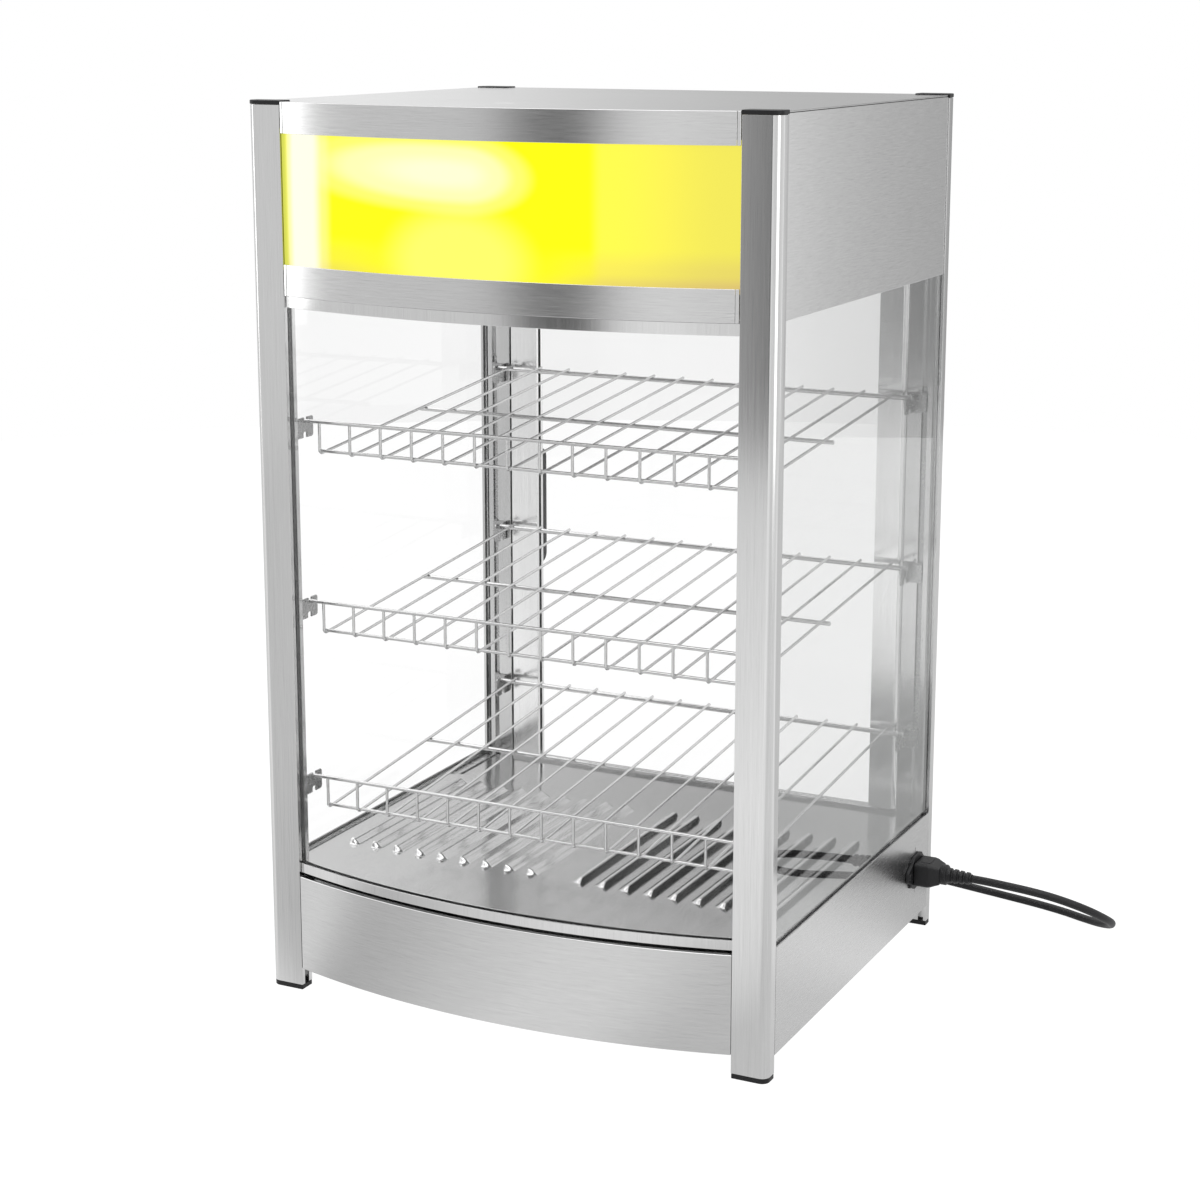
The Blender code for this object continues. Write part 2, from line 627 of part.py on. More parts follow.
def make_header(cabinet):
    low_side = CEILING_LOW
    outline = deck_outline(
        TOP_TRIM_FLANGE + FIT, HALF_WIDTH - HEADER_SIDE_INSET, REAR_WALL, CAP_CLEAR
    )
    slit = [
        (TOP_SLIT_X - TOP_SLIT_LENGTH / 2, TOP_SLIT_Y - TOP_SLIT_WIDTH / 2),
        (TOP_SLIT_X + TOP_SLIT_LENGTH / 2, TOP_SLIT_Y - TOP_SLIT_WIDTH / 2),
        (TOP_SLIT_X + TOP_SLIT_LENGTH / 2, TOP_SLIT_Y + TOP_SLIT_WIDTH / 2),
        (TOP_SLIT_X - TOP_SLIT_LENGTH / 2, TOP_SLIT_Y + TOP_SLIT_WIDTH / 2),
    ]
    cabinet.add("top_panel", slab([outline, slit], TOP_UNDER, TOP_LEVEL), cabinet.steel)
    top_trim = [
        (0, SIGN_HIGH),
        (0, TOP_LEVEL),
        (TOP_TRIM_FLANGE, TOP_LEVEL),
        (TOP_TRIM_FLANGE, TOP_UNDER),
        (SHEET, TOP_UNDER),
        (SHEET, SIGN_HIGH),
    ]
    half = INNER_X - TRIM_END_GAP
    cabinet.add("header_top_trim", bowed(top_trim, half), cabinet.steel)
    bottom_trim = [
        (0, BOTTOM_TRIM_LOW),
        (0, SIGN_LOW),
        (SHEET, SIGN_LOW),
        (SHEET, BOTTOM_TRIM_LOW + SHEET),
        (BOTTOM_TRIM_FLANGE, BOTTOM_TRIM_LOW + SHEET),
        (BOTTOM_TRIM_FLANGE, BOTTOM_TRIM_LOW),
    ]
    cabinet.add("header_bottom_trim", bowed(bottom_trim, half), cabinet.steel)
    near = SHEET + FIT
    far = near + SIGN_THICKNESS
    low = SIGN_LOW - SIGN_OVERLAP
    high = SIGN_HIGH + SIGN_OVERLAP
    sign = [(near, low), (near, high), (far, high), (far, low)]
    cabinet.add("sign_panel", bowed(sign, INNER_X - FIT), cabinet.yellow)
    flange_top = TOP_UNDER - FIT
    for name, side in SIDES.items():
        outer = side * (HALF_WIDTH - HEADER_SIDE_INSET)
        inner = outer - side * SHEET
        end = side * (HALF_WIDTH - SIDE_FLANGE)
        section = [
            (outer, low_side),
            (outer, flange_top),
            (end, flange_top),
            (end, flange_top - SHEET),
            (inner, flange_top - SHEET),
            (inner, low_side),
        ]
        panel = slab([section], CAP_CLEAR - INNER_Y, INNER_Y - CAP_CLEAR, "Y")
        cabinet.add(f"header_side_{name}", panel, cabinet.steel)
    section = [
        (REAR_WALL, CEILING_LOW),
        (REAR_WALL, flange_top),
        (REAR_FLANGE_END, flange_top),
        (REAR_FLANGE_END, flange_top - SHEET),
        (REAR_WALL_INNER, flange_top - SHEET),
        (REAR_WALL_INNER, CEILING_HIGH),
        (REAR_FLANGE_END, CEILING_HIGH),
        (REAR_FLANGE_END, CEILING_LOW),
    ]
    rear = slab([section], CAP_CLEAR - INNER_X, INNER_X - CAP_CLEAR, "X")
    rear = cabinet.add("header_rear_panel", rear, cabinet.steel)
    hole = hinge_hole(CEILING_LOW, CEILING_HIGH)
    combine(rear, cabinet.add("upper_hinge_hole", hole, cabinet.black), "DIFFERENCE")
    outline = deck_outline(SHEET + FIT, SIDE_GLASS_INNER - FIT, INNER_Y + FLOOR_REACH)
    cabinet.add("chamber_ceiling", slab([outline], CEILING_LOW, CEILING_HIGH), cabinet.steel)


def hinge_hole(low, high):
    """A cutter for the hole that a hinge pin turns in."""
    radius = HINGE_PIN_RADIUS + HINGE_HOLE_SLACK
    return rod((HINGE_X, DOOR_Y, low - SHEET), (HINGE_X, DOOR_Y, high + SHEET), radius, ROUND_STEPS)


def make_lamp(cabinet):
    foot_x = LAMP_X + HOLDER_LENGTH - HOLDER_POST
    centre = (LAMP_X, LAMP_Y, LAMP_LEVEL)
    barrel = rod(centre, (LAMP_X + HOLDER_LENGTH, LAMP_Y, LAMP_LEVEL), HOLDER_RADIUS, ROUND_STEPS)
    holder = cabinet.add("lamp_holder", barrel, cabinet.black)
    low = CEILING_HIGH + FIT
    post = [
        (foot_x - HOLDER_FOOT, low),
        (foot_x + HOLDER_POST, low),
        (foot_x + HOLDER_POST, LAMP_LEVEL),
        (foot_x, LAMP_LEVEL),
        (foot_x, low + HOLDER_POST),
        (foot_x - HOLDER_FOOT, low + HOLDER_POST),
    ]
    post = slab([post], LAMP_Y - HOLDER_RADIUS / 2, LAMP_Y + HOLDER_RADIUS / 2, "Y")
    combine(holder, cabinet.add("lamp_holder_post", post, cabinet.black), "UNION")
    neck = LAMP_LENGTH - 2 * LAMP_RADIUS
    profile = [(0, 0), (LAMP_NECK, 0)]
    for step in range(LAMP_RINGS + 1):
        angle = math.pi / 2 * step / LAMP_RINGS
        swell = LAMP_NECK + (LAMP_RADIUS - LAMP_NECK) * math.sin(angle)
        profile.append((swell, neck * (step + 1) / (LAMP_RINGS + 1)))
    for step in range(1, LAMP_RINGS):
        angle = math.pi / 2 * step / LAMP_RINGS
        profile.append((LAMP_RADIUS * math.cos(angle), neck + LAMP_RADIUS * math.sin(angle)))
    profile.append((0, neck + LAMP_RADIUS))
    bulb = turned(profile, (LAMP_X - FIT, LAMP_Y, LAMP_LEVEL), (-1, 0, 0), LAMP_STEPS)
    cabinet.add("lamp_bulb", bulb, cabinet.bulb)


def make_glazing(cabinet):
    near = RAIL_INSET
    far = RAIL_INSET + RAIL_DEPTH
    wall = RAIL_WALL
    top = BOTTOM_TRIM_LOW - FIT
    upper_low = top - UPPER_RAIL_HEIGHT
    upper_bed = top - RAIL_FLOOR
    upper = [
        (near, upper_low),
        (near, top),
        (far, top),
        (far, upper_low),
        (far - wall, upper_low),
        (far - wall, upper_bed),
        (near + wall, upper_bed),
        (near + wall, upper_low),
    ]
    cabinet.add("glass_rail_upper", bowed(upper, INNER_X - FIT), cabinet.aluminium)
    lower_low = FLOOR_TOP + FIT
    lower_bed = lower_low + RAIL_FLOOR
    lower_top = lower_low + RAIL_HEIGHT
    lower = [
        (near, lower_low),
        (near, lower_top),
        (near + wall, lower_top),
        (near + wall, lower_bed),
        (far - wall, lower_bed),
        (far - wall, lower_top),
        (far, lower_top),
        (far, lower_low),
    ]
    cabinet.add("glass_rail_lower", bowed(lower, INNER_X - FIT), cabinet.aluminium)
    inset = FRONT_GLASS_INSET
    low = lower_bed + FIT
    high = upper_low + GLASS_BITE
    pane = [(inset, low), (inset, high), (inset + GLASS, high), (inset + GLASS, low)]
    cabinet.add("front_glass", bowed(pane, FRONT_GLASS_HALF), cabinet.glass)
    reach = INNER_Y + SIDE_GROOVE_DEPTH - FIT
    for name, side in SIDES.items():
        x0, x1 = mirrored(SIDE_GLASS_INNER, SIDE_GLASS_INNER + GLASS, side)
        pane = box((x0, -reach, SEAT_TOP + FIT), (x1, reach, CEILING_HIGH + SIDE_FLANGE))
        cabinet.add(f"side_glass_{name}", pane, cabinet.glass)


def make_floor(cabinet):
    notch_x = INNER_X - FIT
    rear = INNER_Y + FLOOR_REACH
    seat_x = SIDE_GLASS_INNER - FIT
    deck_x = HALF_WIDTH - SIDE_FLANGE - FIT
    right = [
        (notch_x, FIT - INNER_Y),
        (seat_x, FIT - INNER_Y),
        (seat_x, STEP_AT - STEP_RUN),
        (deck_x, STEP_AT - STEP_RUN),
        (deck_x, INNER_Y - FIT),
        (notch_x, INNER_Y - FIT),
        (notch_x, rear),
    ]
    left = [(-x, y) for x, y in reversed(right)]
    loops = [bow_points(FLOOR_FRONT_INSET, notch_x) + right + left]
    for side in (-1, 1):
        for slot in range(SLOTS_PER_GROUP):
            middle = side * (SLOT_FIRST + slot * SLOT_PITCH)
            loops.append(slot_outline(middle, SLOT_FRONT, SLOT_REAR, SLOT_WIDTH))
    shape = bmesh.new()
    edges = []
    for loop in loops:
        corners = [shape.verts.new((x, y, FLOOR_UNDER)) for x, y in loop]
        edges += [shape.edges.new((corner, corners[i - 1])) for i, corner in enumerate(corners)]
    bmesh.ops.triangle_fill(shape, use_beauty=True, edges=edges)
    for fold in (STEP_AT, STEP_AT + STEP_RUN):
        geometry = shape.verts[:] + shape.edges[:] + shape.faces[:]
        bmesh.ops.bisect_plane(shape, geom=geometry, plane_co=(0, fold, 0), plane_no=(0, 1, 0))
    rear_deck = [vert for vert in shape.verts if vert.co.y > STEP_AT + STEP_RUN / 2]
    bmesh.ops.translate(shape, verts=rear_deck, vec=(0, 0, -STEP_DROP))
    thicken(shape, "Z", SHEET)
    cabinet.add("floor_plate", shape, cabinet.steel)


def make_base(cabinet):
    front = [
        (0, BASE_BOTTOM),
        (0, BASE_FRONT_TOP),
        (SIDE_FLANGE, BASE_FRONT_TOP),
        (SIDE_FLANGE, BASE_FRONT_TOP - SHEET),
        (SHEET, BASE_FRONT_TOP - SHEET),
        (SHEET, BASE_BOTTOM + SHEET),
        (SIDE_FLANGE, BASE_BOTTOM + SHEET),
        (SIDE_FLANGE, BASE_BOTTOM),
    ]
    cabinet.add("base_front_panel", bowed(front, INNER_X - FIT), cabinet.steel)
    for name, side in SIDES.items():
        outer = side * HALF_WIDTH
        inner = outer - side * SHEET
        end = outer - side * SIDE_FLANGE
        section = [
            (outer, BASE_BOTTOM),
            (outer, SIDE_LIP_TOP),
            (inner, SIDE_LIP_TOP),
            (inner, SEAT_TOP),
            (end, SEAT_TOP),
            (end, SEAT_TOP - SHEET),
            (inner, SEAT_TOP - SHEET),
            (inner, BASE_BOTTOM + SHEET),
            (end, BASE_BOTTOM + SHEET),
            (end, BASE_BOTTOM),
        ]
        panel = cabinet.add(
            f"base_side_{name}", slab([section], -INNER_Y + FIT, INNER_Y - FIT, "Y"), cabinet.steel
        )
        if side > 0:
            combine(panel, cabinet.add("inlet_cut_out", inlet_cutter(), cabinet.black), "DIFFERENCE")
    section = [
        (REAR_WALL, BASE_BOTTOM),
        (REAR_WALL, FLOOR_TOP - FIT),
        (REAR_FLANGE_END, FLOOR_TOP - FIT),
        (REAR_FLANGE_END, FLOOR_TOP - FIT - SHEET),
        (REAR_WALL_INNER, FLOOR_TOP - FIT - SHEET),
        (REAR_WALL_INNER, BASE_BOTTOM + SHEET),
        (REAR_WALL_INNER - SIDE_FLANGE, BASE_BOTTOM + SHEET),
        (REAR_WALL_INNER - SIDE_FLANGE, BASE_BOTTOM),
    ]
    rear = slab([section], FIT - INNER_X, INNER_X - FIT, "X")
    rear = cabinet.add("base_rear_panel", rear, cabinet.steel)
    half_x = SWITCH_BODY_X / 2 + FIT
    half_z = SWITCH_BODY_Z / 2 + FIT
    cutters = {
        "lower_hinge_hole": hinge_hole(FLOOR_UNDER - FIT, FLOOR_TOP - FIT),
        "shaft_hole": rear_hole(THERMOSTAT_X, SHAFT_RADIUS + FIT),
        "pilot_hole": rear_hole(PILOT_X, PILOT_BARREL + FIT),
        "switch_cut_out": box(
            (SWITCH_X - half_x, REAR_WALL_INNER - SHEET, CONTROL_LEVEL - half_z),
            (SWITCH_X + half_x, REAR_WALL + SHEET, CONTROL_LEVEL + half_z),
        ),
    }
    for name, cutter in cutters.items():
        combine(rear, cabinet.add(name, cutter, cabinet.black), "DIFFERENCE")
    loops = [deck_outline(SHEET + FIT, HALF_WIDTH - SHEET - FIT, REAR_WALL_INNER - FIT)]
    for side in (-1, 1):
        for vent in range(PAN_VENTS):
            middle = (vent - (PAN_VENTS - 1) / 2) * PAN_VENT_PITCH
            low = side * PAN_VENT_LENGTH - PAN_VENT_LENGTH / 2
            loops.append(slot_outline(middle, low, low + PAN_VENT_LENGTH, PAN_VENT_WIDTH))
    cabinet.add("bottom_pan", slab(loops, PAN_LOW, PAN_TOP), cabinet.steel)


def rear_hole(x, radius):
    """A cutter for a round hole through the rear of the base."""
    start = (x, REAR_WALL_INNER - SHEET, CONTROL_LEVEL)
    return rod(start, (x, REAR_WALL + SHEET, CONTROL_LEVEL), radius, ROUND_STEPS)


def inlet_cutter():
    """The hole that the inlet's body passes through, and the two small slits over and under it."""
    low = HALF_WIDTH - 2 * SHEET
    high = HALF_WIDTH + SHEET
    half_y = INLET_BODY_WIDTH / 2 + FIT
    half_z = INLET_BODY_HEIGHT / 2 + FIT
    shape = box(
        (low, INLET_Y - half_y, INLET_LEVEL - half_z), (high, INLET_Y + half_y, INLET_LEVEL + half_z)
    )
    for side in (-1, 1):
        level = INLET_LEVEL + side * SLIT_RISE
        slit = box(
            (low, INLET_Y - SLIT_WIDTH / 2, level - SLIT_LENGTH / 2),
            (high, INLET_Y + SLIT_WIDTH / 2, level + SLIT_LENGTH / 2),
        )
        mesh = bpy.data.meshes.new("slit")
        slit.to_mesh(mesh)
        slit.free()
        shape.from_mesh(mesh)
        bpy.data.meshes.remove(mesh)
    return shape


def element_path():
    """The heating tube's middle line: straight runs from front to rear, joined by half turns."""
    first = -ELEMENT_PITCH * (ELEMENT_RUNS - 1) / 2
    radius = ELEMENT_PITCH / 2
    path = [(first, ELEMENT_TERMINAL, ELEMENT_LEVEL)]
    for turn in range(ELEMENT_RUNS - 1):
        outward = -1 if turn % 2 == 0 else 1
        centre_x = first + (turn + 0.5) * ELEMENT_PITCH
        centre_y = outward * ELEMENT_REAR
        for step in range(ELEMENT_TURN_STEPS + 1):
            angle = math.pi * step / ELEMENT_TURN_STEPS
            x = centre_x - radius * math.cos(angle)
            path.append((x, centre_y + outward * radius * math.sin(angle), ELEMENT_LEVEL))
    path.append((-first, ELEMENT_TERMINAL, ELEMENT_LEVEL))
    return path


def make_heater(cabinet):
    element = bmesh.new()
    sweep(element, element_path(), ELEMENT_RADIUS, (0, 0, 1), ELEMENT_SIDES)
    cabinet.add("heating_element", element, cabinet.steel)
    half = ELEMENT_PITCH * (ELEMENT_RUNS - 1) / 2 + BRACKET_MARGIN
    for name, foot in (("front", -1), ("rear", 1)):
        y = foot * (ELEMENT_REAR - BRACKET_INSET)
        low = PAN_TOP + FIT
        section = [
            (y, low),
            (y, ELEMENT_LEVEL + BRACKET_ABOVE),
            (y + foot * SHEET, ELEMENT_LEVEL + BRACKET_ABOVE),
            (y + foot * SHEET, low + SHEET),
            (y + foot * BRACKET_FOOT, low + SHEET),
            (y + foot * BRACKET_FOOT, low),
        ]
        bracket = cabinet.add(f"element_bracket_{name}", slab([section], -half, half, "X"), cabinet.steel)
        for run in range(ELEMENT_RUNS):
            x = (run - (ELEMENT_RUNS - 1) / 2) * ELEMENT_PITCH
            start = (x, y - 2 * SHEET, ELEMENT_LEVEL)
            end = (x, y + 2 * SHEET, ELEMENT_LEVEL)
            hole = rod(start, end, ELEMENT_RADIUS + FIT, ROUND_STEPS)
            hole = cabinet.add(f"element_hole_{name}_{run}", hole, cabinet.black)
            combine(bracket, hole, "DIFFERENCE")


def make_controls(cabinet):
    half = THERMOSTAT_SIZE / 2
    face = REAR_WALL_INNER - FIT
    body = box(
        (THERMOSTAT_X - half, face - THERMOSTAT_DEPTH, CONTROL_LEVEL - half),
        (THERMOSTAT_X + half, face, CONTROL_LEVEL + half),
    )
    body = cabinet.add("thermostat", body, cabinet.black)
    shaft_end = CONTROL_Y + SHAFT_LENGTH
    shaft_start = (THERMOSTAT_X, face - SHEET, CONTROL_LEVEL)
    shaft = rod(shaft_start, (THERMOSTAT_X, shaft_end, CONTROL_LEVEL), SHAFT_RADIUS, ROUND_STEPS)
    combine(body, cabinet.add("thermostat_shaft", shaft, cabinet.steel), "UNION")
    knob_face = CONTROL_Y + KNOB_RUNNING
    bore = shaft_end + FIT - knob_face
    profile = [
        (0, bore),
        (SHAFT_RADIUS + FIT, bore),
        (SHAFT_RADIUS + FIT, 0),
        (KNOB_RADIUS, 0),
        (KNOB_RADIUS, KNOB_SKIRT),
        (KNOB_GRIP_RADIUS, KNOB_SKIRT + FIT),
        (KNOB_GRIP_RADIUS, KNOB_HEIGHT),
        (0, KNOB_HEIGHT),
    ]
    centre = (THERMOSTAT_X, knob_face, CONTROL_LEVEL)
    pivot = cabinet.pivot("knob_axis", centre)
    knob = cabinet.add(
        "thermostat_knob", turned(profile, centre, (0, 1, 0), KNOB_STEPS), cabinet.black, pivot
    )
    half_x = KNOB_POINTER / 2
    rib_top = CONTROL_LEVEL + KNOB_RADIUS - SHEET
    rib = box(
        (THERMOSTAT_X - half_x, knob_face + SHEET, CONTROL_LEVEL + KNOB_GRIP_RADIUS / 2),
        (THERMOSTAT_X + half_x, knob_face + KNOB_HEIGHT + SHEET, rib_top),
    )
    combine(knob, cabinet.add("knob_pointer", rib, cabinet.black, pivot), "UNION")
    make_switch(cabinet)
    lens = [
        (0, -PILOT_LENGTH),
        (PILOT_BARREL, -PILOT_LENGTH),
        (PILOT_BARREL, FIT),
        (PILOT_RADIUS, FIT),
        (PILOT_RADIUS, FIT + SHEET),
        (PILOT_BARREL, FIT + 2 * SHEET),
        (0, FIT + 2 * SHEET),
    ]
    lamp = turned(lens, (PILOT_X, CONTROL_Y, CONTROL_LEVEL), (0, 1, 0), ROUND_STEPS)
    cabinet.add("pilot_lamp", lamp, cabinet.amber)


def make_switch(cabinet):
    """A snap-in rocker switch: a flanged body with a recess, and the rocker that tilts in it."""
    flange_low = CONTROL_Y + FIT
    flange_high = flange_low + SWITCH_FLANGE
    body = box(
        (SWITCH_X - SWITCH_FLANGE_X / 2, flange_low, CONTROL_LEVEL - SWITCH_FLANGE_Z / 2),
        (SWITCH_X + SWITCH_FLANGE_X / 2, flange_high, CONTROL_LEVEL + SWITCH_FLANGE_Z / 2),
    )
    body = cabinet.add("switch_body", body, cabinet.black)
    barrel = box(
        (SWITCH_X - SWITCH_BODY_X / 2, CONTROL_Y - SWITCH_BODY_DEPTH, CONTROL_LEVEL - SWITCH_BODY_Z / 2),
        (SWITCH_X + SWITCH_BODY_X / 2, flange_low + SWITCH_FLANGE / 2, CONTROL_LEVEL + SWITCH_BODY_Z / 2),
    )
    combine(body, cabinet.add("switch_barrel", barrel, cabinet.black), "UNION")
    half_x = SWITCH_BODY_X / 2 - SWITCH_WALL
    half_z = SWITCH_BODY_Z / 2 - SWITCH_WALL
    recess = box(
        (SWITCH_X - half_x, flange_high - ROCKER_RECESS, CONTROL_LEVEL - half_z),
        (SWITCH_X + half_x, flange_high + SHEET, CONTROL_LEVEL + half_z),
    )
    combine(body, cabinet.add("switch_recess", recess, cabinet.black), "DIFFERENCE")
    axis_y = flange_high - ROCKER_THICKNESS / 2
    pivot = cabinet.pivot("rocker_axis", (SWITCH_X, axis_y, CONTROL_LEVEL))
    reach = half_z - ROCKER_SLACK
    crown = ROCKER_PROUD + ROCKER_THICKNESS / 2
    tilt = math.radians(ROCKER_TILT)
    section = [
        (-ROCKER_THICKNESS / 2, -reach),
        (crown, -reach),
        (crown - reach * math.tan(tilt), 0),
        (crown, reach),
        (-ROCKER_THICKNESS / 2, reach),
    ]
    turned_section = []
    for out, up in section:
        y = out * math.cos(tilt) - up * math.sin(tilt)
        z = out * math.sin(tilt) + up * math.cos(tilt)
        turned_section.append((axis_y + y, CONTROL_LEVEL + z))
    low_x = SWITCH_X - half_x + ROCKER_SLACK
    rocker = slab([turned_section], low_x, 2 * SWITCH_X - low_x, "X")
    cabinet.add("switch_rocker", rocker, cabinet.black, pivot)


def make_door(cabinet):
    pivot = cabinet.pivot("door_axis", (HINGE_X, DOOR_Y, 0))
    half = STILE_THICKNESS / 2
    groove = GLASS / 2 + FIT
    for name, side in (("hinge", 1), ("free", -1)):
        inner = DOOR_EDGE - STILE_WIDTH
        if side > 0:
            rounded = []
            for step in range(STILE_ROUND_STEPS + 1):
                angle = math.pi / 2 - math.pi * step / STILE_ROUND_STEPS
                rounded.append((HINGE_X + half * math.cos(angle), half * math.sin(angle)))
        else:
            rounded = [(DOOR_EDGE, half), (DOOR_EDGE, -half)]
        outline = [
            *rounded,
            (inner, -half),
            (inner, -groove),
            (inner + STILE_GROOVE, -groove),
            (inner + STILE_GROOVE, groove),
            (inner, groove),
            (inner, half),
        ]
        outline = [(side * x, DOOR_Y + y) for x, y in outline]
        stile = cabinet.add(
            f"door_stile_{name}", slab([outline], DOOR_LOW, DOOR_HIGH), cabinet.aluminium, pivot
        )
        if side > 0:
            low = (HINGE_X, DOOR_Y, DOOR_LOW - HINGE_PIN_LENGTH)
            high = (HINGE_X, DOOR_Y, DOOR_HIGH + HINGE_PIN_LENGTH)
            pin = rod(low, high, HINGE_PIN_RADIUS, ROUND_STEPS)
            combine(stile, cabinet.add("door_hinge_pin", pin, cabinet.steel, pivot), "UNION")
    half_x = DOOR_EDGE - STILE_WIDTH + STILE_GROOVE - FIT
    pane = box(
        (-half_x, DOOR_Y - GLASS / 2, DOOR_LOW), (half_x, DOOR_Y + GLASS / 2, DOOR_HIGH)
    )
    cabinet.add("door_glass", pane, cabinet.glass, pivot)
    make_handle(cabinet, pivot)


def make_handle(cabinet, pivot):
    """A pull handle on the free stile: a bar on two posts, from one bent section."""
    near = DOOR_Y + STILE_THICKNESS / 2 + FIT
    far = near + HANDLE_REACH
    middle = (DOOR_LOW + DOOR_HIGH) / 2
    low = middle - HANDLE_HEIGHT / 2
    high = middle + HANDLE_HEIGHT / 2
    corner = HANDLE_CORNER
    section = [
        (near, low),
        (far - corner, low),
        (far, low + corner),
        (far, high - corner),
        (far - corner, high),
        (near, high),
        (near, high - HANDLE_BAR),
        (far - HANDLE_BAR, high - HANDLE_BAR),
        (far - HANDLE_BAR, low + HANDLE_BAR),
        (near, low + HANDLE_BAR),
    ]
    centre_x = -(DOOR_EDGE - STILE_WIDTH / 2)
    bar = slab([section], centre_x - HANDLE_WIDTH / 2, centre_x + HANDLE_WIDTH / 2, "X")
    cabinet.add("door_handle", bar, cabinet.black, pivot)


def shelf_level(place_down):
    """The height of a shelf's front and rear rails."""
    return HIGHEST_SHELF - place_down * SHELF_SPACING


def wire_path(level):
    """One wire from its tail over the rear rail, down to the front and up to the front rail."""
    lower = level - LOWER_RAIL_DROP
    rear_z = level + REAR_RAIL_RADIUS + WIRE_RADIUS - WELD
    front_z = lower - LOWER_RAIL_RADIUS - WIRE_RADIUS + WELD
    up_y = FRONT_RAIL_Y
    low_y = up_y + WIRE_BEND
    slope = (rear_z - front_z) / (REAR_RAIL_Y - low_y)
    return [
        (REAR_RAIL_Y + WIRE_TAIL, rear_z + slope * WIRE_TAIL),
        (low_y, front_z),
        (low_y - WIRE_BEND * WIRE_BEND_SHARES[0], front_z + WIRE_BEND * WIRE_BEND_SHARES[1]),
        (up_y, front_z + WIRE_BEND),
        (up_y, level),
    ]


def cross_level(level):
    """The height of the middle cross rail, welded under the sloping wires."""
    path = wire_path(level)
    (rear_y, rear_z), (low_y, low_z) = path[0], path[1]
    wire_z = low_z + (rear_z - low_z) * (CROSS_RAIL_Y - low_y) / (rear_y - low_y)
    return wire_z - WIRE_RADIUS - CROSS_RAIL_RADIUS + WELD


def make_shelves(cabinet):
    wire_x = INNER_X - WIRE_MARGIN
    rail_half = INNER_X + RAIL_REACH
    for place_down, name in enumerate(SHELF_PLACES):
        level = shelf_level(place_down)
        pivot = cabinet.pivot(f"shelf_{name}_seat", (0, 0, level))
        wires = bmesh.new()
        for wire in range(SHELF_WIRES):
            x = wire_x * (2 * wire / (SHELF_WIRES - 1) - 1)
            path = [(x, y, z) for y, z in wire_path(level)]
            sweep(wires, path, WIRE_RADIUS, (1, 0, 0), WIRE_SIDES)
        wires = cabinet.add(f"shelf_{name}", wires, cabinet.chrome, pivot)
        lower_y = FRONT_RAIL_Y + WIRE_RADIUS + LOWER_RAIL_RADIUS - WELD / 2
        rails = bmesh.new()
        for y, z, half, radius in (
            (FRONT_RAIL_Y, level, rail_half, FRONT_RAIL_RADIUS),
            (lower_y, level - LOWER_RAIL_DROP, INNER_X - LOWER_RAIL_MARGIN, LOWER_RAIL_RADIUS),
            (CROSS_RAIL_Y, cross_level(level), INNER_X - CROSS_RAIL_MARGIN, CROSS_RAIL_RADIUS),
            (REAR_RAIL_Y, level, rail_half, REAR_RAIL_RADIUS),
        ):
            sweep(rails, [(-half, y, z), (half, y, z)], radius, (0, 0, 1), WIRE_SIDES)
        rails = cabinet.add(f"shelf_{name}_rails", rails, cabinet.chrome, pivot)
        combine(wires, rails, "UNION")


def clip_hook(level, rail_radius, rail_reach):
    """A clip from the side, as (from the column's outer face, height) points: a plate with a hook."""
    plate = COLUMN_DEPTH + FIT
    plate_far = plate + CLIP_PLATE
    lip = rail_reach + rail_radius + FIT
    lip_far = lip + CLIP_PLATE
    seat = level - rail_radius - FIT
    seat_low = seat - CLIP_PLATE
    return [
        (plate, level - CLIP_BELOW),
        (plate_far, level - CLIP_BELOW),
        (plate_far, seat_low),
        (lip_far, seat_low),
        (lip_far, level + CLIP_LIP),
        (lip, level + CLIP_LIP),
        (lip, seat),
        (plate_far, seat),
        (plate_far, level + CLIP_ABOVE),
        (plate, level + CLIP_ABOVE),
    ]


def clip_comb():
    """The strip in the column's groove, with a tooth out to each clip's plate."""
    back = COLUMN_DEPTH - CLIP_GROOVE_DEPTH + FIT
    front = back + CLIP_STRIP
    tooth = COLUMN_DEPTH + FIT + CLIP_PLATE / 2
    places = range(len(SHELF_PLACES))
    points = [(back, LOWEST_SHELF - CLIP_BELOW), (front, LOWEST_SHELF - CLIP_BELOW)]
    for place_down in reversed(places):
        level = shelf_level(place_down)
        points += [
            (front, level - CLIP_TOOTH_BELOW),
            (tooth, level - CLIP_TOOTH_BELOW),
            (tooth, level + CLIP_TOOTH_ABOVE),
            (front, level + CLIP_TOOTH_ABOVE),
        ]
    return points + [(front, HIGHEST_SHELF + CLIP_ABOVE), (back, HIGHEST_SHELF + CLIP_ABOVE)]


def make_clips(cabinet):
    groove_near = INNER_X + CLIP_GROOVE_START + FIT
    groove_far = INNER_X + CLIP_GROOVE_START + CLIP_GROOVE_WIDTH - FIT
    for name, (side, end) in CORNERS.items():
        radius = FRONT_RAIL_RADIUS if end < 0 else REAR_RAIL_RADIUS
        rail_reach = HALF_DEPTH - abs(FRONT_RAIL_Y if end < 0 else REAR_RAIL_Y)
        comb = [(end * (HALF_DEPTH - v), z) for v, z in clip_comb()]
        clips = slab([comb], *mirrored(groove_near, groove_far, side), "X")
        clips = cabinet.add(f"shelf_clips_{name}", clips, cabinet.chrome)
        for place_down, shelf in enumerate(SHELF_PLACES):
            hook = clip_hook(shelf_level(place_down), radius, rail_reach)
            hook = [(end * (HALF_DEPTH - v), z) for v, z in hook]
            hook = slab([hook], *mirrored(INNER_X - CLIP_OVERLAP, groove_far - FIT, side), "X")
            hook = cabinet.add(f"clip_{name}_{shelf}", hook, cabinet.chrome)
            combine(clips, hook, "UNION")


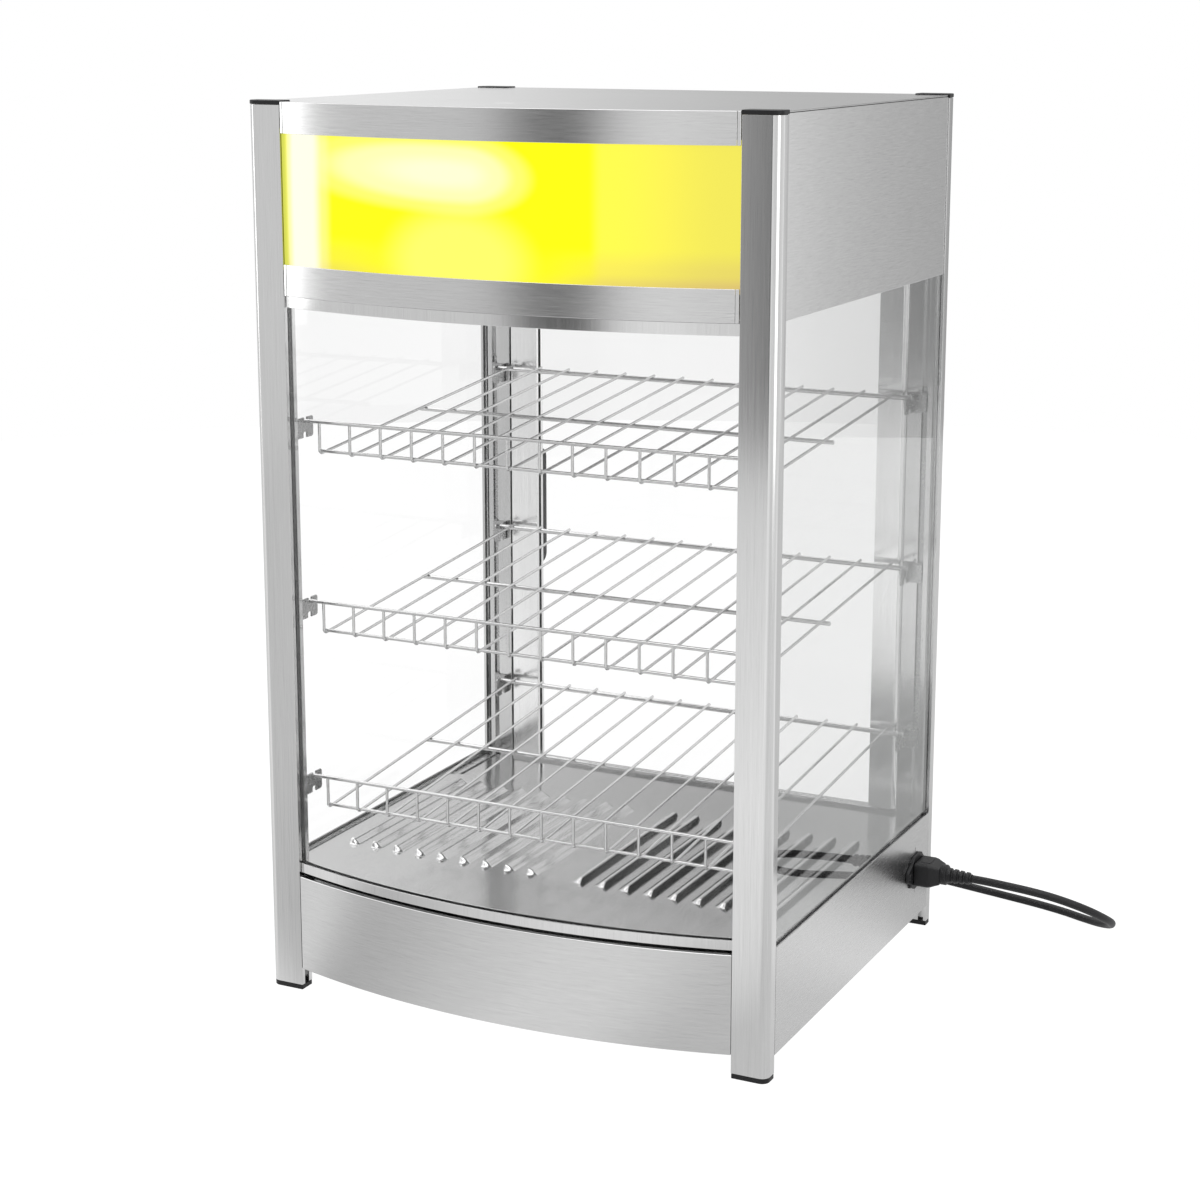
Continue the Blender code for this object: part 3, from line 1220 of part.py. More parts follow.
def inlet_outline():
    """The inlet's flange: a rectangle whose ends draw in to rounded ears."""
    half_z = INLET_HEIGHT / 2
    half_y = INLET_WIDTH / 2
    ear = INLET_EAR / 2
    shoulder = INLET_BODY_WIDTH / 2 - ear
    points = []
    for side in (1, -1):
        points.append((side * shoulder, -side * half_z))
        for step in range(INLET_EAR_STEPS + 1):
            angle = math.pi * (step / INLET_EAR_STEPS - 1 / 2)
            y = half_y - ear + ear * math.cos(angle)
            points.append((side * y, side * ear * math.sin(angle)))
        points.append((side * shoulder, side * half_z))
    return [(INLET_Y + y, INLET_LEVEL + z) for y, z in points]


def make_inlet(cabinet):
    low = HALF_WIDTH + FIT
    high = HALF_WIDTH + INLET_PROUD
    inlet = cabinet.add("mains_inlet", slab([inlet_outline()], low, high, "X"), cabinet.black)
    half_y = INLET_BODY_WIDTH / 2
    half_z = INLET_BODY_HEIGHT / 2
    body = box(
        (high - INLET_BODY_DEPTH, INLET_Y - half_y, INLET_LEVEL - half_z),
        (high - INLET_PROUD / 2, INLET_Y + half_y, INLET_LEVEL + half_z),
    )
    combine(inlet, cabinet.add("inlet_body", body, cabinet.black), "UNION")
    for name, side in (("near", -1), ("far", 1)):
        y = INLET_Y + side * INLET_SCREW_SPACING / 2
        start = (high - INLET_PROUD / 2, y, INLET_LEVEL)
        head = rod(start, (high + INLET_SCREW_HEAD, y, INLET_LEVEL), INLET_SCREW_RADIUS, ROUND_STEPS)
        combine(inlet, cabinet.add(f"inlet_screw_{name}", head, cabinet.steel), "UNION")
    half_y = INLET_SOCKET_WIDTH / 2
    half_z = INLET_SOCKET_HEIGHT / 2
    socket = box(
        (high - INLET_SOCKET_DEPTH, INLET_Y - half_y, INLET_LEVEL - half_z),
        (high + SHEET, INLET_Y + half_y, INLET_LEVEL + half_z),
    )
    combine(inlet, cabinet.add("inlet_socket", socket, cabinet.black), "DIFFERENCE")


def rounded_box(width, height, radius):
    """A rectangle with cut corners about the inlet's axis, as (y, z) points."""
    half_y, half_z = width / 2, height / 2
    corners = ((half_y, half_z), (-half_y, half_z), (-half_y, -half_z), (half_y, -half_z))
    points = []
    for i, (y, z) in enumerate(corners):
        along_y = (y - math.copysign(radius, y), z)
        along_z = (y, z - math.copysign(radius, z))
        points += [along_z, along_y] if i % 2 == 0 else [along_y, along_z]
    return [(INLET_Y + y, INLET_LEVEL + z) for y, z in points]


def make_connector(cabinet):
    """The moulded connector: a nose in the inlet, a tapering body, a collar and a strain relief."""
    start = HALF_WIDTH + INLET_PROUD + FIT
    stations = (
        (start, 1.0),
        (start + CONNECTOR_LENGTH * CONNECTOR_TAPER_SHARE, 1.0),
        (start + CONNECTOR_LENGTH, CONNECTOR_NECK_SHARE),
    )
    shape = bmesh.new()
    rings = []
    for x, share in stations:
        outline = rounded_box(CONNECTOR_WIDTH * share, CONNECTOR_HEIGHT * share, CONNECTOR_ROUND)
        rings.append([shape.verts.new((x, y, z)) for y, z in outline])
    for near, far in zip(rings, rings[1:]):
        for i in range(len(near)):
            shape.faces.new((near[i - 1], near[i], far[i], far[i - 1]))
    shape.faces.new(rings[0])
    shape.faces.new(rings[-1])
    connector = cabinet.add("cord_connector", shape, cabinet.black)
    half_y = INLET_SOCKET_WIDTH / 2 - CONNECTOR_NOSE_SLACK
    half_z = INLET_SOCKET_HEIGHT / 2 - CONNECTOR_NOSE_SLACK
    nose = box(
        (start - CONNECTOR_NOSE, INLET_Y - half_y, INLET_LEVEL - half_z),
        (start + SHEET, INLET_Y + half_y, INLET_LEVEL + half_z),
    )
    combine(connector, cabinet.add("connector_nose", nose, cabinet.black), "UNION")
    neck = start + CONNECTOR_LENGTH
    profile = [
        (0, -SHEET),
        (COLLAR_RADIUS, -SHEET),
        (COLLAR_RADIUS, COLLAR_LENGTH),
        (RELIEF_RADIUS, COLLAR_LENGTH + FIT),
        (RELIEF_TIP_RADIUS, COLLAR_LENGTH + RELIEF_LENGTH),
        (0, COLLAR_LENGTH + RELIEF_LENGTH),
    ]
    relief = turned(profile, (neck, INLET_Y, INLET_LEVEL), (1, 0, 0), RELIEF_STEPS)
    combine(connector, cabinet.add("connector_relief", relief, cabinet.black), "UNION")


def smooth_run(points, count):
    """Evenly spaced points on a smooth curve through the given ones."""
    points = [Vector(point) for point in points]
    points = [2 * points[0] - points[1], *points, 2 * points[-1] - points[-2]]
    fine = []
    for before, start, end, after in zip(points, points[1:], points[2:], points[3:]):
        bend = 2 * before - 5 * start + 4 * end - after
        twist = 3 * start - before - 3 * end + after
        for step in range(ROUTE_STEPS):
            share = step / ROUTE_STEPS
            fine.append(start + ((end - before) * share + bend * share**2 + twist * share**3) / 2)
    fine.append(points[-2])
    reach = [0.0]
    for near, far in zip(fine, fine[1:]):
        reach.append(reach[-1] + (far - near).length)
    even = []
    place_in = 0
    for step in range(count):
        wanted = reach[-1] * step / (count - 1)
        while place_in < len(reach) - 2 and reach[place_in + 1] < wanted:
            place_in += 1
        span = reach[place_in + 1] - reach[place_in]
        even.append(fine[place_in].lerp(fine[place_in + 1], (wanted - reach[place_in]) / span))
    return even, reach[-1]


def round_tube(cabinet, name, points, resolution):
    """A cord along the points: a curve with a round bevel and filled ends."""
    data = bpy.data.curves.new(name, "CURVE")
    data.dimensions = "3D"
    data.bevel_depth = CORD_RADIUS
    data.bevel_resolution = resolution
    data.use_fill_caps = True
    data.materials.append(cabinet.rubber)
    spline = data.splines.new("POLY")
    spline.points.add(len(points) - 1)
    for knot, point in zip(spline.points, points):
        knot.co = (*point, 1)
    cord = bpy.data.objects.new(name, data)
    cord.parent = cabinet.root
    bpy.context.scene.collection.objects.link(cord)
    return cord


def coil_points():
    """Two layers of turns: inwards on the floor, up a layer in half a turn, and outwards on top."""
    inner = COIL_OUTER - COIL_TURNS * COIL_PITCH
    climbed = inner - COIL_PITCH / 2
    clear = climbed + COIL_PITCH
    stages = (
        (0, COIL_OUTER, 0),
        (COIL_TURNS, inner, 0),
        (COIL_TURNS + 1 / 2, climbed, 1),
        (COIL_TURNS + 1, clear, 1),
        (2 * COIL_TURNS + 1 / 2, clear + (COIL_TURNS - 1 / 2) * COIL_PITCH, 1),
    )
    points = []
    for (start, near, low), (end, far, high) in zip(stages, stages[1:]):
        steps = round((end - start) * COIL_LOOP_STEPS)
        for step in range(steps):
            share = step / steps
            radius = near + share * (far - near)
            points.append(coil_point(start + share * (end - start), radius, low + share * (high - low)))
    points.append(coil_point(*stages[-1]))
    first = points[0] + Vector((COIL_END, 0, 0))
    last = points[-1] + Vector((COIL_END, 0, 0))
    return [first, *points, last]


def coil_point(turn, radius, layer):
    angle = math.pi / 2 + 2 * math.pi * turn
    x = COIL_CENTRE_X + radius * math.cos(angle)
    return Vector((x, COIL_CENTRE_Y + radius * math.sin(angle), CORD_REST + COIL_CLIMB * layer))


def least_gap(points, thickness):
    """The least clear distance between parts of a cord that aren't neighbours along it."""
    nearest = math.inf
    apart = COIL_LOOP_STEPS // 2
    for i, start in enumerate(points):
        for other in range(i + apart, len(points) - 1):
            near, far = points[other], points[other + 1]
            run = far - near
            share = min(max((start - near).dot(run) / run.length_squared, 0), 1)
            nearest = min(nearest, (start - near - share * run).length)
    return nearest - thickness


def make_cord(cabinet):
    route, length = smooth_run(CORD_ROUTE, CORD_STEPS)
    round_tube(cabinet, "cord", route, 2)
    coil = coil_points()
    round_tube(cabinet, "cord_coil", coil, 1)
    wound = sum((far - near).length for near, far in zip(coil, coil[1:]))
    print(f"cord: {length:.3f} m free, {wound:.3f} m wound")
    print(f"coil: least gap to itself {1000 * least_gap(coil, 2 * CORD_RADIUS):.2f} mm")
    tail = coil[-1] + Vector((PLUG_GAP, 0, 0))
    make_plug(cabinet, tail)


def make_plug(cabinet, tail):
    """The mains plug, lying on its side at the end of the coil."""
    lean = math.asin((PLUG_RADIUS - tail.z) / (PLUG_RELIEF + PLUG_GRIP + PLUG_SHOULDER))
    axis = Vector((math.cos(lean), 0, math.sin(lean)))
    shoulder = PLUG_RELIEF + PLUG_GRIP
    face = shoulder + PLUG_SHOULDER
    profile = [
        (0, 0),
        (PLUG_TIP_RADIUS, 0),
        (PLUG_RELIEF_RADIUS, PLUG_RELIEF),
        (PLUG_GRIP_RADIUS, PLUG_RELIEF + FIT),
        (PLUG_GRIP_RADIUS, shoulder),
        (PLUG_RADIUS, face),
        (PLUG_RADIUS, face + PLUG_FACE),
        (0, face + PLUG_FACE),
    ]
    plug = cabinet.add("mains_plug", turned(profile, tail, axis, PLUG_STEPS), cabinet.black)
    for name, side in (("near", -1), ("far", 1)):
        start = tail + axis * (face + PLUG_FACE / 2) + Vector((0, side * PLUG_PIN_SPACING / 2, 0))
        end = start + axis * (PLUG_FACE / 2 + PLUG_PIN_LENGTH)
        pin = rod(start, end, PLUG_PIN_RADIUS, RELIEF_STEPS)
        combine(plug, cabinet.add(f"plug_pin_{name}", pin, cabinet.chrome), "UNION")


def main():
    for leftover in list(bpy.data.objects):
        bpy.data.objects.remove(leftover, do_unlink=True)
    cabinet = Cabinet()
    make_columns(cabinet)
    make_header(cabinet)
    make_lamp(cabinet)
    make_glazing(cabinet)
    make_floor(cabinet)
    make_base(cabinet)
    make_heater(cabinet)
    make_controls(cabinet)
    make_door(cabinet)
    make_shelves(cabinet)
    make_clips(cabinet)
    make_inlet(cabinet)
    make_connector(cabinet)
    make_cord(cabinet)


main()
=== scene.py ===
"""Finishes and fine pieces of a countertop food warmer: a lit header over a glass chamber with three wire
shelves, on a heated base. Laid out as an add-on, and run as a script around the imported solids."""

import json
import math

import bmesh
import bpy
from bpy.props import FloatProperty, FloatVectorProperty, IntProperty, PointerProperty
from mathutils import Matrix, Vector

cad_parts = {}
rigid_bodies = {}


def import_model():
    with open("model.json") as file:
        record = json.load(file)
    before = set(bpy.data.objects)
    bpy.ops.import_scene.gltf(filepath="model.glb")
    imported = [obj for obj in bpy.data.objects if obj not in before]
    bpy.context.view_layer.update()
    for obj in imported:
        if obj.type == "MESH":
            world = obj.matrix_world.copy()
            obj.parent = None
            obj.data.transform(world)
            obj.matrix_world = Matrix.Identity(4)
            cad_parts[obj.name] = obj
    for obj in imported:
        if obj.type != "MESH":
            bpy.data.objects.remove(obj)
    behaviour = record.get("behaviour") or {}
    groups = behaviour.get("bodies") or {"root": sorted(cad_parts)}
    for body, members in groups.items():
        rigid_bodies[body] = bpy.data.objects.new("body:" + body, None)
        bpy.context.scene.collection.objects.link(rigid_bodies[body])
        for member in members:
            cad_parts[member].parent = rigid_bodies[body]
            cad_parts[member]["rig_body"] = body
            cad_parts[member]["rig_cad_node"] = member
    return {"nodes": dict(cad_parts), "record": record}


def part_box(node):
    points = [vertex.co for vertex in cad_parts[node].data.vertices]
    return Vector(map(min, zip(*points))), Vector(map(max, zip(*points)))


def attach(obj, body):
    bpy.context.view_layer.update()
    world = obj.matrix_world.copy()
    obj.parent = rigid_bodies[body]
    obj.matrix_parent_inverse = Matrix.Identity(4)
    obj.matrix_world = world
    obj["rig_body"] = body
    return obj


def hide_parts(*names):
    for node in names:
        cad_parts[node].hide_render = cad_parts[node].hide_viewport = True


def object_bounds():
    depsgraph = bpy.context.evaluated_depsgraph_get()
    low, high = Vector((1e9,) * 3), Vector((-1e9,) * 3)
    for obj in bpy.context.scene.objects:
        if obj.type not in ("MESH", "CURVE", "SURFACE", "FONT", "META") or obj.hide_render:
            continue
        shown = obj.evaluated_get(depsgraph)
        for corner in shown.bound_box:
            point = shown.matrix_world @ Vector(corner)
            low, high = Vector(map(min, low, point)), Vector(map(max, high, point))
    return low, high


bl_info = {
    "name": "Countertop Food Warmer",
    "version": (1, 0, 0),
    "blender": (4, 5, 0),
    "location": "3D View > Sidebar > Warmer",
    "description": "Finishes and fine pieces of a glass food warmer with wire shelves",
    "category": "Add Mesh",
}

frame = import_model()
CAD_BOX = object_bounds()
NODES = frame["nodes"]
MM = 0.001

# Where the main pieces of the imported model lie
LEFT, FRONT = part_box("column_front_left")[0].xy
RIGHT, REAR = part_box("column_rear_right")[1].xy
INNER_LEFT, FRONT_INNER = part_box("column_front_left")[1].xy
INNER_RIGHT, REAR_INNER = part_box("column_rear_right")[0].xy
MIDDLE = Vector(((LEFT + RIGHT) / 2, (FRONT + REAR) / 2, 0))
HALF_WIDTH = (RIGHT - LEFT) / 2
HALF_DEPTH = (REAR - FRONT) / 2
INNER_X = (INNER_RIGHT - INNER_LEFT) / 2
INNER_Y = (REAR_INNER - FRONT_INNER) / 2
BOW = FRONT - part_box("base_front_panel")[0].y
BOW_RADIUS = (INNER_X**2 + BOW**2) / (2 * BOW)
BOW_CENTRE = MIDDLE + Vector((0, BOW_RADIUS - HALF_DEPTH - BOW, 0))
TOP = CAD_BOX[1].z
FLOOR_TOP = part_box("floor_plate")[1].z
SHEET = 1.2 * MM
FIT = 0.3 * MM
MERGE = FIT / 30  # points nearer to each other than this are one
FLAT = math.radians(1)  # faces that meet at less than this are one
OVERRUN = 10 * MM  # what is trimmed off again at the ends of a bowed piece
BOW_STEP = math.radians(0.7)
BEND_STEP = math.radians(15)  # in the bend of a wire

# The cord's route in the cabinet's frame, from the connector to the coil behind the cabinet
CORD_ROUTE = (
    (0.2777, 0.1440, 0.0640), (0.2920, 0.1440, 0.0636), (0.3100, 0.1444, 0.0624), (0.3280, 0.1460, 0.0605),
    (0.3450, 0.1500, 0.0570), (0.3610, 0.1575, 0.0510), (0.3750, 0.1690, 0.0425), (0.3840, 0.1850, 0.0320),
    (0.3860, 0.2040, 0.0215), (0.3800, 0.2220, 0.0125), (0.3670, 0.2370, 0.0065), (0.3490, 0.2490, 0.0040),
    (0.3280, 0.2585, 0.0036), (0.3020, 0.2665, 0.0036), (0.2700, 0.2740, 0.0036), (0.2360, 0.2815, 0.0036),
    (0.2000, 0.2895, 0.0036), (0.1640, 0.2977, 0.0036), (0.1320, 0.3058, 0.0036), (0.1060, 0.3126, 0.0036),
    (0.0840, 0.3167, 0.0036), (0.0660, 0.3180, 0.0036), (0.0493, 0.3180, 0.0036),
)
ROUTE_STEPS = 6  # between two points of the route
TURN_STEPS = 36  # in one turn of the coil
COIL_X = 40 * MM
CORD_TAIL = 10 * MM  # from the coil into the plug


def number(label, value, description, **limits):
    return FloatProperty(name=label, description=description, default=value, **limits)


def length(label, metres, description, **limits):
    return number(label, metres, description, unit="LENGTH", **limits)


def rotation(label, degrees, description):
    return number(label, math.radians(degrees), description, subtype="ANGLE")


def paint(label, tone, description):
    return FloatVectorProperty(name=label, description=description, default=tone, subtype="COLOR")


def whole(label, count, description, **limits):
    return IntProperty(name=label, description=description, default=count, **limits)


class WarmerStage(bpy.types.PropertyGroup):
    """The camera, the floor and the light."""

    lens: number("Lens", 73.26, "Focal length", min=10)
    shift: number("Shift", -0.06, "Vertical shift of the picture")
    yaw: rotation("Yaw", 26.35, "Turn of the camera")
    pitch: rotation("Pitch", 12.05, "How far it looks down")
    place: FloatVectorProperty(
        name="Place",
        description="The camera from the middle of the columns",
        default=(0.881, -1.804, 0.806),
        subtype="TRANSLATION",
        unit="LENGTH",
    )
    floor: length("Floor", 2.8, "Radius of the floor", min=0.1)
    lift: number("Lift", 0.82, "Share of plain white in the floor", min=0, max=1)
    sky: number("Sky", 0.62, "Light from all round", min=0)
    key: number("Key lamp", 17.0, "Power of the lamp overhead", min=0)
    side: number("Side lamp", 5.0, "Power of the lamp at the left", min=0)


class WarmerMetal(bpy.types.PropertyGroup):
    """The colours of the metals."""

    steel: paint("Steel", (0.56, 0.56, 0.56), "Brushed sheet")
    aluminium: paint("Aluminium", (0.60, 0.60, 0.60), "Columns and rails")
    wire: paint("Wire", (0.58, 0.58, 0.58), "Shelves and clips")
    edge: length("Edge", 0.35 * MM, "Rounding of sheet edges", min=0)


class WarmerSign(bpy.types.PropertyGroup):
    """The lit sign in the header."""

    yellow: paint("Yellow", (1.0, 0.98, 0.008), "Lit acrylic")
    amber: paint("Amber", (0.66, 0.49, 0.18), "Lower corners")
    glow: length("Glow", 82 * MM, "Reach of the lamp's glow to the right", min=0)


class WarmerGlass(bpy.types.PropertyGroup):
    """The panes."""

    clear: number("Clear", 0.985, "Light through one face of a pane", min=0, max=1)


class WarmerColumn(bpy.types.PropertyGroup):
    """The extruded corner columns."""

    corner: length("Corner", 7 * MM, "Radius of the outer corner")
    steps: whole("Steps", 12, "Faces round the corner", min=2)
    overhang: length("Overhang", 0.4 * MM, "How far a cap stands out")


class WarmerWire(bpy.types.PropertyGroup):
    """The wire shelves."""

    count: whole("Wires", 14, "Wires of one shelf", min=2)
    radius: length("Wire", 1.2 * MM, "Radius of a wire")
    bend: length("Bend", 3.4 * MM, "Inner radius of the lower bend")
    sides: whole("Sides", 12, "Faces round a wire", min=3)


class WarmerCord(bpy.types.PropertyGroup):
    """The mains cord, coiled behind the cabinet."""

    diameter: length("Diameter", 7 * MM, "Across the sheath")
    outer: length("Coil", 50 * MM, "Radius of the outermost turn")
    pitch: length("Pitch", 7.9 * MM, "Between turns side by side")
    climb: length("Climb", 7.7 * MM, "From one layer to the next")
    turns: whole("Turns", 2, "Turns in the lower layer", min=1)


class WarmerSettings(bpy.types.PropertyGroup):
    """All the sizes and colours of the warmer."""

    stage: PointerProperty(type=WarmerStage, name="Stage")
    metal: PointerProperty(type=WarmerMetal, name="Metal")
    sign: PointerProperty(type=WarmerSign, name="Sign")
    glass: PointerProperty(type=WarmerGlass, name="Glass")
    column: PointerProperty(type=WarmerColumn, name="Column")
    wire: PointerProperty(type=WarmerWire, name="Wire")
    cord: PointerProperty(type=WarmerCord, name="Cord")


def maths(operation, reflected=False):
    """An operator of Value, which adds the Math node of that operation."""

    def apply(self, other):
        pair = (other, self) if reflected else (self, other)
        return self.look.maths(operation, *pair)

    return apply


class Value:
    """One socket of a shader, so that node maths reads as an expression."""

    def __init__(self, look, socket):
        self.look = look
        self.socket = socket

    __add__ = maths("ADD")
    __radd__ = maths("ADD", True)
    __sub__ = maths("SUBTRACT")
    __rsub__ = maths("SUBTRACT", True)
    __mul__ = maths("MULTIPLY")
    __rmul__ = maths("MULTIPLY", True)
    __truediv__ = maths("DIVIDE")
    __pow__ = maths("POWER")


class Look:
    """A new material, with its Principled shader and the few node tools that the finishes need."""

    def __init__(self, name, owner=None):
        self.owner = owner or bpy.data.materials.new(name)
        self.owner.use_nodes = True
        self.tree = self.owner.node_tree
        self.shader = self.tree.nodes.get("Principled BSDF")

    def node(self, kind, settings=None, sockets=None):
        made = self.tree.nodes.new(kind)
        for name, value in (settings or {}).items():
            if name == "stops":
                self.fill_ramp(made.color_ramp, value)
            else:
                setattr(made, name, value)
        for key, value in (sockets or {}).items():
            self.feed(made.inputs[key], value)
        return made

    def feed(self, socket, value):
        if isinstance(value, Value):
            self.tree.links.new(value.socket, socket)
        elif isinstance(value, tuple) and len(value) == 3 and len(socket.default_value) == 4:
            socket.default_value = (*value, 1)
        else:
            socket.default_value = value

    def out(self, made, key=0):
        return Value(self, made.outputs[key])

    def maths(self, operation, *values):
        return self.out(self.node("ShaderNodeMath", {"operation": operation}, dict(enumerate(values))))

    def fill_ramp(self, ramp, stops):
        while len(ramp.elements) < len(stops):
            ramp.elements.new(1)
        for element, (place, tone) in zip(ramp.elements, stops):
            element.position = place
            element.color = (tone, tone, tone, 1) if isinstance(tone, float) else (*tone, 1)

    def set(self, **values):
        """Sets or links the shader's own sockets, named with underscores."""
        for name, value in values.items():
            key = name.replace("_", " ").title().replace("Ior", "IOR")
            self.feed(self.shader.inputs[key], value)

    def point(self, scale=1, move=(0, 0, 0)):
        """Object coordinates, stretched by scale per metre: one number, or one for each axis."""
        scale = scale if isinstance(scale, tuple) else (scale, scale, scale)
        place = self.out(self.node("ShaderNodeTexCoord"), "Object")
        return self.out(self.node("ShaderNodeMapping", None, {0: place, "Location": move, "Scale": scale}))

    def axes(self, vector):
        made = self.node("ShaderNodeSeparateXYZ", None, {0: vector})
        return [self.out(made, i) for i in range(3)]

    def noise(self, scale, detail, roughness=0.55):
        sockets = {"Vector": self.point(scale), "Scale": 1.0, "Detail": detail, "Roughness": roughness}
        return self.out(self.node("ShaderNodeTexNoise", None, sockets), "Fac")

    def ramp(self, value, stops, interpolation="EASE"):
        made = self.node("ShaderNodeValToRGB", {"stops": stops}, {"Fac": value})
        made.color_ramp.interpolation = interpolation
        return self.out(made)

    def blend(self, factor, first, second):
        """A mix of two colours: the node's colour sockets are 6 and 7, and 2 on the way out."""
        made = self.node("ShaderNodeMix", {"data_type": "RGBA"}, {0: factor, 6: first, 7: second})
        return self.out(made, 2)

    def bump(self, height, distance):
        sockets = {"Height": height, "Distance": distance}
        return self.out(self.node("ShaderNodeBump", None, sockets), "Normal")

    def round_about(self, x, y, tones):
        """The tone of this direction, from the front towards the left, in a ring of tones."""
        share = self.maths("ARCTAN2", -1 * x, -1 * y) / (2 * math.pi) + 0.5
        return self.ramp(share, tones, "LINEAR")

    def rays(self):
        """Whether a ray comes from the camera, straight or through glass, and whether from a mirror."""
        path = self.node("ShaderNodeLightPath")
        seen = self.out(path, "Is Camera Ray") + self.out(path, "Is Transmission Ray")
        return seen, self.out(path, "Is Glossy Ray")

    def mix(self, factor, first, second):
        """Shows a mix of two shaders in place of the Principled one alone."""
        mixed = self.node("ShaderNodeMixShader", None, {0: factor})
        self.tree.links.new(first.outputs[0], mixed.inputs[1])
        self.tree.links.new(second.outputs[0], mixed.inputs[2])
        self.tree.links.new(mixed.outputs[0], self.tree.nodes["Material Output"].inputs["Surface"])


def shade(colour, share):
    """A colour made lighter or darker by a share."""
    return tuple(channel * share for channel in colour)


def brushed(name, colour, roughness, grain, depth):
    """Brushed metal: grain is how many marks there are per metre along X, Y and Z."""
    look = Look(name)
    coarse = look.noise(grain, 4.0, 0.62)
    fine = look.noise(tuple(3.3 * count for count in grain), 2.0, 0.5)
    cloud = look.noise(7, 2.0)
    marks = coarse * 0.6 + fine * 0.4
    tones = [(0.3, shade(colour, 0.90)), (0.5, tuple(colour)), (0.7, shade(colour, 1.07))]
    look.set(
        base_color=look.ramp(marks, tones),
        metallic=1.0,
        roughness=roughness - 0.05 + marks * 0.10 + cloud * 0.05,
        normal=look.bump(marks, depth),
    )
    return look.owner


def mottled(name, patches, colours, roughness, texture, glow=None, **constants):
    """A finish that drifts between two colours, and between two colours of glow where it has them.

    patches is (count per metre, detail), roughness is (the least, its spread), and texture, for the bumps,
    is (count per metre, detail, depth).
    """
    look = Look(name)
    drift = look.noise(*patches)
    least, spread = roughness
    look.set(base_color=look.blend(drift, *colours), roughness=least + drift * spread, **constants)
    if texture:
        count, detail, depth = texture
        look.set(normal=look.bump(look.noise(count, detail), depth))
    if glow:
        look.set(emission_color=look.blend(drift, *glow), emission_strength=1.0)
    return look.owner


def clear_glass(name, through, shine):
    """A pane: clear where it is seen face on, and a faint mirror where it is seen at a slant."""
    look = Look(name)
    smears = look.noise(5, 3.0)
    clear = look.node("ShaderNodeBsdfTransparent", None, {"Color": (through, through, through)})
    mirror = look.out(look.node("ShaderNodeFresnel", None, {"IOR": 1.5}))
    inner = look.out(look.node("ShaderNodeNewGeometry"), "Backfacing")
    look.set(
        base_color=look.blend(smears, (0.93, 0.95, 0.94), (0.98, 0.99, 0.985)),
        metallic=1.0,
        roughness=smears * 0.03,
    )
    look.mix(mirror * (1 - inner) * (shine + smears * 0.2), clear, look.shader)
    return look.owner


def lit_acrylic(settings):
    """Yellow acrylic, lit from behind, whose front alone glows: white by the lamp, with a painted reflection
    as a white strip at the left end, paler from three quarters of the way on, and amber below."""
    look = Look("yellow_acrylic")
    low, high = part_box("sign_panel")
    bulb = sum(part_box("lamp_bulb"), Vector()) / 2
    width, height = high.x - low.x, high.z - low.z
    across, _, up = look.axes(look.point((1 / width, 1, 1 / height), (-low.x / width, 0, -low.z / height)))
    soft = look.noise(9, 2.0)
    paler = look.ramp(across, [(0.715, 0.0), (0.745, 0.95), (1.0, 1.0)])
    right = look.ramp(across, [(0.75, (1.0, 0.93, 0.085)), (0.98, (0.84, 0.77, 0.11))])
    body = look.blend(paler, tuple(settings.yellow), right)
    below = ((across - 0.44) ** 2 * 26 + (up - 0.15) ** 2 * 5) ** 0.5
    body = look.blend(look.ramp(below, [(0.45, 1.0), (1.0, 0.0)]), body, (1.0, 1.0, 0.16))
    bottom = look.ramp(up + soft * 0.04, [(0.05, 1.0), (0.15, 0.45), (0.32, 0.0)])
    side = look.ramp(across, [(0.1, 0.5), (0.35, 0.12), (0.6, 0.12), (0.78, 0.65), (1.0, 1.0)])
    body = look.blend(bottom * side, body, tuple(settings.amber))
    lamp = (bulb.x - low.x) / width + 0.07
    reach = settings.glow / width
    fall = [(0.0, 0.95), (lamp, 0.0), (lamp + reach * 0.3, 0.15), (lamp + reach, 1.0)]
    aside = look.ramp(across, fall, "LINEAR")
    level = (up - 0.74 - (lamp - across) * 0.12) * 3.3
    distance = (aside * aside + level * level) ** 0.5
    glow = look.ramp(distance, [(0.12, 1.0), (0.5, 0.7), (0.75, 0.24), (1.0, 0.0)])
    lit = look.blend(glow, body, (1.0, 1.0, 0.70))
    # A painted reflection: a white strip near the left end of the sign
    strip = [(0.012, 0.0), (0.025, 0.5), (0.040, 1.0), (0.090, 1.0), (0.12, 0.25), (0.145, 0.0)]
    lit = look.blend(look.ramp(across + soft * 0.01, strip), lit, (1.0, 1.0, 0.86))
    lit = look.blend(look.ramp(across, [(0.006, 1.0), (0.02, 0.0)]), lit, (0.60, 0.64, 0.09))
    normal = look.out(look.node("ShaderNodeNewGeometry"), "Normal")
    facing = look.ramp(-1 * look.axes(normal)[1], [(0.0, 0.0), (0.3, 1.0)])
    look.set(
        base_color=look.blend(soft, (0.12, 0.10, 0.002), (0.14, 0.12, 0.003)),
        roughness=0.10 + soft * 0.08,
        emission_color=look.blend(facing, (0.06, 0.05, 0.0), lit),
        emission_strength=0.97,
        specular_ior_level=0.05,
    )
    return look.owner


